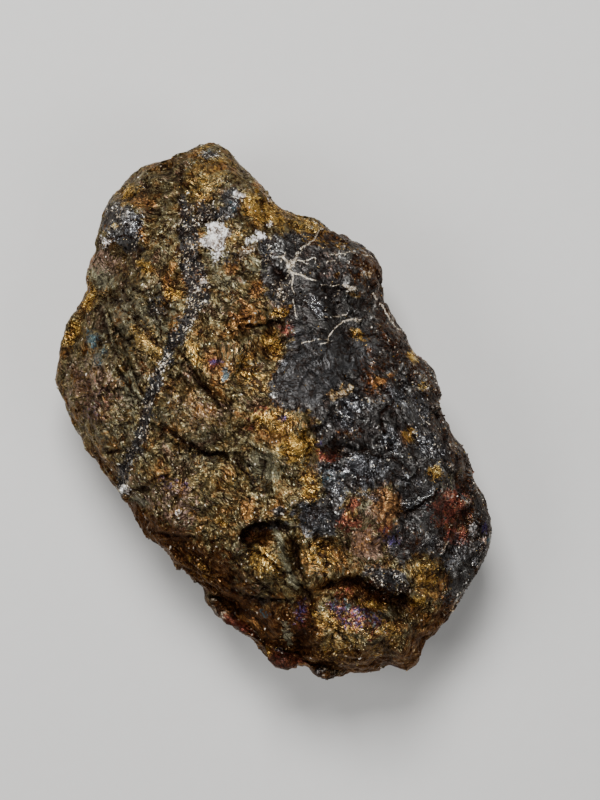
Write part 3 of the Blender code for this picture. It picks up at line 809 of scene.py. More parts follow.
        (19.5, -50.5, 8.0, 3.5, -12.0, 0.65), (26.0, -51.5, 6.0, 3.0, -12.0, 0.6),
        (-8.0, 46.0, 3.0, 2.0, 0.0, 0.3), (18.0, 6.8, 3.2, 1.5, 20.0, 0.75),
        (14.5, 43.8, 8.0, 1.0, -8.0, 0.35),
    ),
    Zone.RUST: ground(
        (-12.3, 63.2, 1.9, 1.3, 0.0, 0.9), (-3.0, 59.0, 1.2, 1.2, 0.0, 1.0),
        (-31.8, 54.0, 3.6, 1.9, -20.0, 0.85), (-26.0, 35.3, 1.3, 1.2, 0.0, 0.8),
        (-24.8, 30.6, 2.2, 1.6, 0.0, 0.6), (-3.5, 31.6, 1.7, 2.2, 0.0, 1.0),
        (-5.6, 26.0, 4.2, 3.6, 30.0, 0.8), (-9.0, 38.0, 2.0, 1.6, 30.0, 0.7),
        (2.8, 27.4, 2.6, 1.8, 0.0, 0.7), (0.7, 20.0, 2.0, 3.6, 10.0, 0.7),
        (-10.0, 15.0, 6.0, 4.0, 20.0, 0.45), (-11.8, 12.6, 2.4, 1.1, -30.0, 0.9),
        (-19.5, 7.0, 3.0, 2.0, -30.0, 0.3), (2.5, -3.0, 6.0, 4.0, 0.0, 0.6),
        (9.5, -14.0, 3.0, 3.0, 0.0, 0.45), (13.0, 46.3, 1.5, 0.9, 0.0, 0.8),
        (27.2, 9.5, 1.8, 1.0, 20.0, 0.9), (30.1, 11.0, 1.0, 0.8, 0.0, 0.8),
        (34.5, -4.0, 2.4, 1.7, 50.0, 0.8), (41.0, -12.6, 2.2, 1.7, -20.0, 0.5),
        (28.9, -21.5, 3.6, 4.4, 20.0, 0.9), (28.7, -27.0, 1.8, 2.0, 0.0, 0.7),
        (-5.4, -22.9, 2.6, 3.0, 0.0, 0.75), (-17.6, -27.3, 1.2, 0.9, 0.0, 0.9),
        (1.5, -36.5, 2.2, 2.2, 0.0, 0.6), (11.5, -35.0, 4.4, 4.6, 20.0, 0.55),
        (40.0, -40.5, 3.8, 5.4, 0.0, 0.7), (17.9, -46.6, 1.4, 1.2, 0.0, 1.0),
        (31.5, -51.4, 2.6, 2.0, -30.0, 0.75), (24.3, -51.6, 0.9, 0.8, 0.0, 0.9),
        (20.0, -48.6, 4.0, 1.6, -25.0, 0.5), (28.6, -52.0, 2.6, 1.2, -30.0, 0.6),
        (-5.8, -50.6, 3.6, 1.7, -25.0, 0.7), (-22.0, -2.0, 5.0, 3.0, -20.0, 0.25),
        (-42.0, 2.0, 4.0, 3.0, 0.0, 0.2), (25.0, -36.0, 6.0, 2.0, 0.0, 0.35),
        (24.0, -31.0, 4.0, 3.0, 0.0, 0.5),
    ),
    Zone.CRIMSON: ground(
        (-2.2, 2.1, 1.8, 1.4, 0.0, 0.6), (-5.0, -1.2, 1.6, 1.2, 0.0, 0.5),
        (4.0, 22.8, 1.4, 1.8, 20.0, 0.7), (15.0, -9.0, 3.0, 1.4, -15.0, 0.7),
        (-14.0, 14.0, 1.8, 1.3, 0.0, 0.8), (21.3, -20.7, 1.8, 2.0, 0.0, 0.8),
        (20.0, -25.8, 4.2, 1.7, -5.0, 0.85), (44.5, -21.5, 4.6, 4.2, 30.0, 0.8),
        (46.7, -29.5, 2.8, 2.2, -20.0, 0.85), (28.5, -27.2, 2.0, 1.4, 0.0, 0.6),
        (20.9, -49.4, 0.9, 0.9, 0.0, 1.0), (8.2, -49.0, 1.8, 3.0, -10.0, 0.7),
        (22.0, -49.6, 7.5, 3.2, -28.0, 0.6), (18.6, -47.6, 1.6, 1.0, 0.0, 0.7),
        (17.0, 35.0, 6.0, 4.0, 0.0, 0.12), (-43.5, 5.5, 6.0, 5.0, 60.0, 0.25),
        (20.0, -42.0, 7.0, 1.4, 10.0, 0.3),
    ),
    Zone.TEAL: ground(
        (-44.5, 20.2, 1.4, 2.0, 20.0, 0.9), (-42.6, 15.6, 1.6, 3.0, 10.0, 0.45),
        (-10.9, 11.3, 0.9, 1.6, -20.0, 0.85), (-15.0, 66.5, 2.4, 0.8, 0.0, 0.4),
        (-9.0, 53.6, 1.4, 1.6, 0.0, 0.5), (21.8, -48.8, 6.6, 2.4, -28.0, 0.55),
        (27.5, -48.6, 1.6, 1.0, -30.0, 0.5), (14.8, -14.6, 3.6, 2.4, 10.0, 0.3),
        (-1.4, -47.9, 1.4, 1.2, 0.0, 0.5),
    ),
    Zone.GREEN: ground(
        Streak(((1.6, -28.0), (3.5, -33.3), (4.7, -37.0), (6.5, -41.5)), 0.9, 0.9),
        (3.9, -53.0, 1.1, 3.0, 15.0, 0.85), (-41.7, 35.8, 3.4, 3.0, 0.0, 0.9),
        (-29.4, 26.9, 1.8, 3.4, 0.0, 0.75), (-32.0, 24.0, 10.0, 9.0, 0.0, 0.55),
        (-43.8, 14.6, 4.0, 3.0, 0.0, 0.55), (-35.6, 7.0, 6.5, 2.4, -62.0, 0.65),
        (-14.4, 39.6, 3.0, 3.0, 0.0, 0.5), (-3.8, 39.5, 3.5, 3.0, 0.0, 0.5),
        (-11.5, 34.5, 3.0, 3.0, 0.0, 0.5), (-27.0, 45.5, 4.0, 2.0, 0.0, 0.35),
        (-34.7, 9.0, 2.4, 3.4, 20.0, 0.7), (-2.2, -12.6, 5.0, 4.6, 0.0, 0.75),
        (24.0, -21.9, 1.8, 2.2, 0.0, 0.8), (-32.3, -20.4, 3.0, 1.1, -25.0, 0.8),
        (28.9, -47.8, 1.6, 1.0, -20.0, 0.7), (-16.0, -10.5, 7.0, 2.6, -12.0, 0.45),
        (-22.0, 0.0, 9.0, 5.0, -25.0, 0.4), (-40.0, -1.0, 6.0, 8.0, 20.0, 0.35),
        (-33.0, -5.0, 4.0, 6.0, 20.0, 0.35), (-12.0, 33.0, 3.0, 6.0, 20.0, 0.4),
        (20.5, -36.8, 6.0, 1.6, 10.0, 0.4), (22.5, -54.0, 8.0, 3.4, 0.0, 0.5),
        (44.0, -17.5, 6.0, 2.0, 60.0, 0.4),
    ),
    Zone.MAUVE: ground(
        (24.3, -31.4, 4.2, 3.6, 0.0, 1.0), (28.5, -22.0, 4.4, 4.4, 0.0, 0.85),
        (-24.0, -21.0, 7.0, 5.0, -25.0, 0.4), (-44.0, 7.4, 7.0, 9.0, 20.0, 0.35),
        (-41.4, 39.5, 4.2, 3.0, 0.0, 0.5), (-17.0, 2.5, 8.0, 4.0, -20.0, 0.28),
        (21.5, -51.0, 8.0, 4.0, 0.0, 0.5), (-18.0, 12.0, 4.0, 4.0, 0.0, 0.2),
        (14.0, 40.0, 6.0, 4.0, 0.0, 0.2),
    ),
}


THREADS: tuple[Streak, ...] = rows(Streak,
    (((7.7, 42.3), (6.7, 41.4), (6.3, 40.5), (5.9, 39.5)), 0.5, 1.0),
    (((5.2, 39.7), (6.3, 39.9), (7.1, 39.8)), 0.6, 0.9),
    (((5.9, 39.4), (5.0, 38.6), (4.7, 37.5), (5.5, 36.9)), 0.4, 1.0),
    (((4.7, 37.3), (5.5, 36.9), (6.4, 36.6)), 0.5, 1.0),
    (((7.2, 42.0), (7.8, 42.8), (9.1, 43.9), (10.0, 44.7), (10.8, 45.0)), 0.4, 0.6),
    (((10.8, 45.2), (11.6, 46.4), (12.4, 47.6), (13.6, 47.9)), 0.26, 0.4),
    (((4.9, 39.0), (3.9, 40.0), (3.0, 40.8), (2.0, 40.9)), 0.4, 0.6),
    (((3.8, 41.6), (3.4, 40.7), (2.6, 39.6)), 0.26, 0.6),
    (((6.7, 39.8), (8.1, 39.7), (9.7, 40.2), (10.8, 40.5), (11.4, 40.2), (11.2, 39.3)), 0.2, 1.0),
    (((8.1, 39.7), (8.9, 39.1), (9.5, 39.2)), 0.12, 0.6),
    (((14.2, 39.2), (14.1, 39.5), (15.0, 39.9), (16.3, 40.0)), 0.14, 0.7),
    (((15.0, 41.1), (16.6, 41.4), (18.1, 41.6), (20.0, 41.8), (21.3, 41.6), (21.6, 41.2)), 0.22, 0.7),
    (((23.1, 41.6), (25.0, 41.3), (25.9, 40.8)), 0.16, 0.4),
    (((6.2, 36.6), (7.5, 36.4), (9.1, 35.8), (10.3, 35.2), (11.6, 34.7)), 0.3, 1.0),
    (((12.5, 33.8), (14.1, 33.8), (15.6, 33.8), (17.5, 33.9)), 0.2, 0.55),
    (((18.2, 33.8), (20.0, 33.2), (21.6, 33.0)), 0.4, 0.9),
    (((21.4, 32.9), (20.3, 32.5), (19.2, 32.2), (17.0, 32.4)), 0.26, 0.6),
    (((5.6, 36.6), (5.8, 35.0), (5.6, 33.8), (5.9, 32.5), (6.1, 31.6)), 0.24, 1.0),
    (((5.6, 30.1), (5.9, 28.4), (6.4, 26.9), (6.6, 26.1)), 0.2, 0.8),
    (((5.6, 34.7), (4.8, 34.1), (4.2, 33.3)), 0.2, 0.8),
    (((4.8, 36.4), (4.1, 35.6), (3.6, 35.3)), 0.26, 0.5),
    (((15.6, 25.9), (17.5, 26.3), (19.4, 26.1)), 0.4, 0.4),
    (((22.5, 24.5), (21.3, 25.3), (19.7, 24.8), (18.1, 24.4)), 0.55, 0.6),
    (((18.7, 24.4), (17.2, 23.9), (16.3, 23.3), (15.8, 22.2), (15.0, 20.9), (14.5, 19.7)), 0.16, 0.8),
    (((14.5, 19.4), (13.4, 19.2), (12.5, 19.2)), 0.12, 0.7),
    (((13.8, 20.0), (12.5, 20.3), (11.6, 20.2), (10.6, 19.8), (9.1, 19.5), (7.8, 19.2)), 0.14, 0.6),
    (((25.6, 31.9), (26.6, 30.0), (27.8, 28.7), (29.0, 26.3), (29.8, 25.0), (32.0, 23.0), (34.0, 21.5)),
        0.3, 0.7),
)

NEEDLES: tuple[Streak, ...] = rows(Streak,
    (((9.0, 29.6), (10.8, 27.6), (13.2, 25.2)), 0.12, 0.7),
    (((9.8, 29.9), (11.4, 28.0), (13.6, 25.6)), 0.12, 1.0),
    (((10.4, 30.6), (11.9, 28.4), (13.9, 26.0)), 0.12, 0.9),
    (((11.1, 30.8), (12.3, 28.9), (13.9, 27.0)), 0.12, 0.7),
    (((8.2, 30.0), (9.6, 29.6), (11.0, 28.0), (12.6, 25.6)), 0.12, 0.6),
    (((20.5, -13.8), (23.0, -15.2), (26.0, -14.8)), 0.2, 0.6),
    (((24.0, -8.6), (25.6, -11.0), (26.0, -13.4)), 0.18, 0.7),
    (((30.6, -3.0), (31.8, -5.0), (31.2, -7.0)), 0.2, 0.8),
    (((37.6, -3.8), (39.6, -6.6), (41.0, -9.4)), 0.2, 0.8),
    (((29.0, -6.4), (30.4, -8.2), (32.4, -8.6)), 0.16, 0.6),
    (((15.4, -13.0), (16.4, -16.4), (15.8, -19.0)), 0.18, 0.6),
    (((33.0, -21.0), (36.6, -20.4), (41.2, -17.8)), 0.2, 0.6),
    (((16.0, 3.4), (18.4, 1.0), (21.2, 0.2)), 0.18, 0.6),
)


HIDDEN: dict[Zone, Hidden] = {
    Zone.UMBER: Hidden(16.0, 12.9, -0.05, 0.4),
    Zone.VIOLET: Hidden(10.0, 63.9, 0.35, 0.65),
    Zone.GOLD: Hidden(11.0, 31.3, 0.10, 0.45),
    Zone.RUST: Hidden(9.0, 57.7, 0.12, 0.5),
    Zone.MAUVE: Hidden(14.0, 83.1, 0.05, 0.5),
    Zone.GREEN: Hidden(10.0, 97.9, 0.1, 0.5),
    Zone.SILVER: Hidden(8.0, 71.5, 0.25, 0.6),
    Zone.CRIMSON: Hidden(12.0, 43.3, 0.25, 0.6),
    Zone.TEAL: Hidden(9.0, 19.9, 0.4, 0.7),
    Zone.CREAM: Hidden(6.0, 27.1, 0.5, 0.75),
}


CRACKS: tuple[Groove, ...] = rows(Groove,
    (((-28.8, 33.8), (-25.5, 28.8)), 0.7, 0.4),
    (((-37.5, 33.0), (-34.0, 28.5), (-33.5, 23.0), (-36.0, 18.0)), 0.7, 0.45),
    (((-31.0, 30.0), (-27.5, 24.0), (-27.0, 19.0)), 0.6, 0.4),
    (((-35.5, 14.0), (-33.0, 9.5), (-31.5, 6.0)), 0.7, 0.4),
    (((-23.0, 17.5), (-20.0, 13.3), (-17.5, 8.8), (-13.8, 6.3)), 0.7, 0.4),
    (((-8.8, -8.8), (-6.3, -13.0), (-2.0, -17.5)), 0.6, 0.4), (((-1.3, -10.5), (-2.0, -15.0)), 0.6, 0.35),
    (((-40.5, -8.3), (-37.0, -7.8)), 0.7, 0.4),
    (((-32.5, -17.5), (-28.8, -14.5), (-23.8, -13.8)), 0.7, 0.4),
    (((-36.3, -17.5), (-30.8, -17.5)), 0.7, 0.4),
    (((-30.0, -27.5), (-25.0, -29.0), (-18.8, -29.5)), 0.8, 0.45),
    (((15.8, -5.8), (17.5, -7.6), (19.3, -8.8), (21.3, -7.5), (24.5, -7.5)), 0.8, 0.35),
    (((13.0, -13.0), (15.5, -11.5)), 0.8, 0.4), (((-22.3, 64.3), (-22.5, 57.3)), 0.7, 0.5),
    (((-7.5, 23.3), (2.5, 24.5)), 0.6, 0.45), (((5.8, -30.0), (7.6, -38.0), (10.0, -45.0)), 1.2, 0.5),
    (((-27.0, -1.5), (-20.0, -6.5), (-15.5, -8.2), (-10.8, -8.9)), 1.4, 0.5),
    (((-7.0, -30.5), (-6.6, -27.8), (-3.0, -26.2), (1.2, -25.6), (4.5, -27.2)), 1.1, 0.5),
    (((12.5, -42.2), (17.5, -40.6), (22.5, -40.6), (27.0, -43.6), (34.0, -46.2)), 0.8, 0.5),
    (((-9.0, -42.5), (-3.0, -44.6), (4.5, -45.2)), 1.0, 0.5),
    (((26.0, -9.0), (31.0, -9.5), (35.0, -13.0)), 0.7, 0.4),
    (((31.5, -23.5), (36.0, -22.5), (41.5, -18.5)), 0.8, 0.45),
    (((29.5, 3.5), (27.5, 0.5), (28.5, -3.5)), 0.8, 0.5), (((1.5, 37.5), (3.5, 35.5)), 0.9, 0.7),
    (((-38.0, 46.0), (-34.0, 45.5)), 0.8, 0.6),
    (((-30.6, 53.8), (-27.5, 51.3), (-23.8, 51.3)), 0.5, 0.35),
    (((-28.1, 46.3), (-25.0, 45.0), (-22.5, 42.5)), 0.5, 0.35),
    (((-34.4, 32.5), (-30.0, 31.3), (-26.3, 32.5)), 0.6, 0.4),
    (((-40.0, 31.3), (-36.3, 27.5), (-31.3, 22.5), (-26.9, 18.1)), 0.6, 0.4),
    (((-40.6, 26.3), (-37.5, 21.3), (-33.1, 17.5), (-28.1, 15.0)), 0.6, 0.4),
    (((-42.2, 27.5), (-41.6, 23.8), (-40.3, 20.0), (-38.1, 16.3), (-35.6, 12.5)), 0.7, 0.5),
    (((-22.5, 16.9), (-19.4, 12.5), (-15.0, 6.9), (-11.3, 2.5)), 0.6, 0.4),
    (((-25.0, 13.8), (-21.3, 10.0), (-17.5, 5.0)), 0.5, 0.35),
    (((-39.4, 13.8), (-36.3, 10.0), (-33.1, 5.0), (-31.9, 1.3)), 0.6, 0.4),
    (((-15.0, 26.3), (-11.3, 25.0), (-6.3, 25.6), (-1.9, 25.0)), 0.5, 0.35),
    (((28.5, 8.0), (31.0, 5.0), (30.5, 1.0)), 0.8, 0.5),
    (((21.9, 21.3), (26.3, 21.3), (30.0, 18.1), (33.8, 18.1)), 0.5, 0.35),
    (((-7.2, -29.9), (-4.4, -32.2), (-0.6, -34.5), (2.5, -37.7), (4.9, -42.3)), 0.6, 0.4),
    (((-9.9, -34.5), (-5.0, -39.0), (1.0, -43.9)), 0.6, 0.4),
    (((-9.1, -37.7), (-5.5, -41.5), (-1.3, -44.7)), 0.5, 0.35),
    (((9.5, -30.7), (11.1, -36.1), (11.9, -41.5)), 0.5, 0.35),
    (((13.4, -30.7), (14.2, -36.1), (13.4, -40.0)), 0.5, 0.35),
    (((15.0, -46.5), (20.0, -49.5), (25.0, -53.5), (30.0, -57.0)), 0.5, 0.35),
    (((14.0, -50.5), (18.0, -54.0), (23.0, -58.5)), 0.5, 0.35),
)


@dataclass(frozen=True)
class Grooving(Oval):
    """Fine parallel ridges in an oval and along it, with their spacing and height."""

    spacing: float
    height: float

    def lift(self, places: Array, sway: Array) -> Array:
        """Height that the ridges add.

        Args:
            places: places in the face plan.
            sway: noise that bends the ridges.

        Returns:
            One height for each place.
        """
        length, width = self.shares(places)
        cover = ease(0.0, RIDGE_EDGE, 1.0 - np.hypot(length, width))
        phase = (width * self.half_width + RIDGE_SWAY * sway) / self.spacing
        saw = phase - np.floor(phase)
        gentle, steep = RIDGE_SLOPES
        return self.height * cover * (np.minimum(saw * gentle, (1.0 - saw) * steep) - 0.5)


@dataclass
class Skin:
    """The finished surface of the lump, which the small pieces are set on.

    Lengths are millimetres in the face plan.
    """

    points: Array
    quads: Array
    normals: Array
    masks: dict[Zone, Array]
    hollow: Array
    crack: Array

    def quad_mean(self, values: Array) -> Array:
        """A value at the points, averaged over each face."""
        return values[self.quads].mean(axis=1)

    def quad_areas(self) -> Array:
        """Area of each face in square millimetres."""
        a, b, c, d = (self.points[self.quads[:, k]] for k in range(4))
        return np.linalg.norm(np.cross(c - a, d - b), axis=1) / 2.0


@dataclass(frozen=True)
class OreBody:
    """The lump itself: the solid's shape with the fine relief of its broken face."""

    name: str = "ore_body"
    form: LumpForm = LumpForm()
    ridges: tuple[Grooving, ...] = rows(Grooving,
        (-31.0, 24.0, 13.0, 10.0, -45.0, 2.3, 0.9), (-38.0, 17.0, 13.0, 5.0, -62.0, 1.8, 0.8),
        (-28.0, 38.0, 8.0, 6.0, -35.0, 1.2, 0.45), (-21.5, 12.5, 9.0, 6.0, -45.0, 1.8, 0.8),
        (-43.0, 2.0, 9.0, 7.0, -60.0, 1.2, 0.3), (-10.0, 3.5, 9.0, 6.0, -28.0, 1.6, 0.6),
        (-10.0, -16.0, 10.0, 6.0, -25.0, 1.3, 0.35), (11.4, -24.5, 6.5, 4.0, -25.0, 0.95, 0.4),
        (-3.5, -42.0, 8.0, 4.0, -18.0, 1.1, 0.5), (26.0, -51.0, 9.0, 5.0, -35.0, 1.2, 0.5),
        (-21.0, -35.0, 12.0, 4.5, -37.0, 1.5, 0.6), (11.7, -35.0, 6.0, 4.5, -62.0, 1.1, 0.45),
        (11.5, 28.5, 5.0, 3.0, -55.0, 0.9, 0.35), (33.0, 12.0, 12.0, 5.0, -65.0, 1.8, 0.4),
        (-15.0, 60.0, 9.0, 7.0, -65.0, 1.8, 0.5), (-8.0, 24.0, 12.0, 8.0, -50.0, 2.0, 0.5),
        (20.0, 5.0, 12.0, 8.0, -40.0, 2.2, 0.35), (20.0, 40.0, 9.0, 5.0, -25.0, 1.3, 0.35),
    )
    sight: tuple[float, float] = (-0.35, 0.05)
    wander: tuple = ((7.0, (12.7, 91.3), 1.0), (2.2, (55.1, 37.9), 0.4))
    tear: tuple[float, float] = (1.6, 23.3)
    sway: tuple[float, float] = (5.0, 66.1)
    brassy_cells: tuple = ((3.4, 0.17, 0.12, 5.1), (1.1, 0.2, 0.06, 17.3))
    dark_cells: tuple = ((3.2, 0.14, 0.22, 29.9), (1.3, 0.2, 0.1, 47.7))
    bumps: tuple = ((3.3, 61.7, 0.16), (1.2, 83.1, 0.05))
    dark_cell_share: float = 0.8
    dark_calms_bumps: float = 0.3
    dark_calms_ridges: float = 0.5
    slate_calms: float = 0.5
    vein_depth: float = 0.25
    edge_share: float = 0.55
    flank_slope: tuple[float, float] = (0.75, 0.35)
    flank_noise: tuple[float, float] = (6.0, 14.3)
    flank_height: float = 0.35
    hollow_scales: tuple = ((6, 0.12), (60, 0.5))
    full_crack: float = 0.6

    def masks(self, points: Array, face: Array) -> dict[Zone, Array]:
        """How far each kind of ground covers each point: as read on the face, and by chance out of sight.

        Args:
            points: places in the face plan.
            face: 1 where the face's own zones reach, and 0 out of sight.

        Returns:
            One mask for each zone, from 0 to 1.
        """
        wander = np.stack([
            sum(move * layered(points, size, starts[axis]) for size, starts, move in self.wander)
            for axis in range(2)
        ], axis=1)
        ragged = layered(points, *self.tear)
        places = seen_from_above(points)
        masks = {}
        for zone in Zone:
            mask = np.maximum.reduce([shape.cover(places, wander, ragged) for shape in ZONES[zone]])
            if zone in HIDDEN:
                mask = mask * face + HIDDEN[zone].cover(points) * (1.0 - face)
            elif zone is Zone.QUARTZ:
                mask = mask * face
            masks[zone] = mask
        return masks

    def relief(self, points: Array, masks: dict[Zone, Array]) -> Array:
        """Height of the fine relief: hackly cells, bumps and ridges, calmer on the dark ground.

        Args:
            points: places in the face plan.
            masks: one mask for each zone.

        Returns:
            One height for each point, along its normal.
        """
        dark = masks[Zone.DARK]
        sway = layered(points, *self.sway)
        places = seen_from_above(points)
        ridges = sum(ridge.lift(places, sway) for ridge in self.ridges)
        flakes = to_part(points, np.zeros(3)) / MM * FLAKE_STRETCH
        hackly = sum(broken_cells(flakes, *layer) for layer in self.brassy_cells)
        blocky = sum(broken_cells(flakes, *layer) for layer in self.dark_cells)
        bumps = sum(rise * layered(points, size, start) for size, start, rise in self.bumps)
        height = hackly * (1.0 - dark) + blocky * self.dark_cell_share * dark
        height = height + bumps * (1.0 - self.dark_calms_bumps * dark)
        height = height + ridges * (1.0 - self.dark_calms_ridges * dark)
        return height * (1.0 - self.slate_calms * masks[Zone.SLATE]) - self.vein_depth * masks[Zone.VEIN]

    def skin(self) -> Skin:
        """Works out the finished surface and the zones on it.

        Returns:
            The surface that the small pieces are set on.
        """
        points, quads, free = self.form.surface()
        normals = vertex_normals(points, quads)
        face = ease(*self.sight, normals[:, 2])
        masks = self.masks(points, face)
        places = seen_from_above(points)
        cracks = sum(crack.lift(places + bends(places)) for crack in CRACKS)
        flank = ease(*self.flank_slope, np.abs(normals[:, 2])) * layered(points, *self.flank_noise)
        height = self.relief(points, masks) * (self.edge_share + (1.0 - self.edge_share) * free)
        points = points + normals * (height + self.flank_height * flank)[:, None]
        points[:, 2] += cracks * face * free
        points[:, 2] = np.maximum(points[:, 2], 0.0)
        normals = vertex_normals(points, quads)
        # How deep each point lies in a hollow or how far it stands out on a ridge; the finish paints
        # shade into hollows and a highlight onto ridges from it.
        hollow = 0.0
        for rounds, full in self.hollow_scales:
            depth = ((smoothed(points, quads, rounds) - points) * normals).sum(axis=1)
            hollow = hollow + np.clip(depth / full, -1.0, 1.0) / len(self.hollow_scales)
        crack = np.clip(-cracks / self.full_crack, 0.0, 1.0) * face
        return Skin(points, quads, normals, masks, hollow, crack)

    def build(self, skin: Skin, offset: Array, material: bpy.types.Material) -> bpy.types.Object:
        """Makes the lump's mesh with its zones.

        Args:
            skin: the finished surface.
            offset: the plan's move to the part's own place.
            material: its finish.

        Returns:
            The new object, in the part's frame.
        """
        values = {zone.value: mask for zone, mask in skin.masks.items()}
        values["hollow"] = skin.hollow
        values["crack"] = skin.crack
        body = mesh_object(self.name, to_part(skin.points, offset), skin.quads, values, material)
        body.data.polygons.foreach_set("use_smooth", np.ones(len(skin.quads), bool))
        return body


def mesh_object(name: str, points: Array, faces: Array, values: dict[str, Array],
                material: bpy.types.Material) -> bpy.types.Object:
    """Makes one mesh object from arrays.

    Args:
        name: the piece's name.
        points: places in metres.
        faces: the faces' corners, the same number for each face.
        values: numbers that are kept at the points, by name.
        material: the piece's finish.

    Returns:
        The object, in the scene.
    """
    mesh = bpy.data.meshes.new(name)
    sides = faces.shape[1]
    mesh.vertices.add(len(points))
    mesh.vertices.foreach_set("co", points.astype(np.float32).ravel())
    mesh.loops.add(faces.size)
    mesh.loops.foreach_set("vertex_index", faces.astype(np.int32).ravel())
    mesh.polygons.add(len(faces))
    mesh.polygons.foreach_set("loop_start", np.arange(0, faces.size, sides, dtype=np.int32))
    mesh.update(calc_edges=True)
    for label, numbers in values.items():
        kept = mesh.attributes.new(label, "FLOAT", "POINT")
        kept.data.foreach_set("value", numbers.astype(np.float32))
    mesh.materials.append(material)
    thing = bpy.data.objects.new(name, mesh)
    bpy.context.scene.collection.objects.link(thing)
    return thing


class Shape(Enum):
    """The shape of one small grain."""

    CRYSTAL = "crystal"
    BLOCK = "block"

    def solid(self) -> tuple[Array, Array]:
        """The grain's own mesh.

        Returns:
            Corners within one unit of the middle, and triangles that face out.
        """
        if self is Shape.CRYSTAL:
            corners = np.array([
                (1.0, 0.0, 0.0), (0.0, 1.0, 0.0), (-1.0, 0.0, 0.0), (0.0, -1.0, 0.0),
                (0.0, 0.0, 1.0), (0.0, 0.0, -1.0),
            ])
            upper = [(k, (k + 1) % 4, 4) for k in range(4)]
            lower = [((k + 1) % 4, k, 5) for k in range(4)]
            return corners, np.array(upper + lower)
        ring = ((-0.7, -0.7), (0.7, -0.7), (0.7, 0.7), (-0.7, 0.7))
        corners = np.array([(x, y, z) for z in (-0.6, 0.6) for x, y in ring])
        walls = [(k, (k + 1) % 4, 4 + (k + 1) % 4) for k in range(4)]
        walls += [(k, 4 + (k + 1) % 4, 4 + k) for k in range(4)]
        return corners, np.array(walls + [(0, 2, 1), (0, 3, 2), (4, 5, 6), (4, 6, 7)])


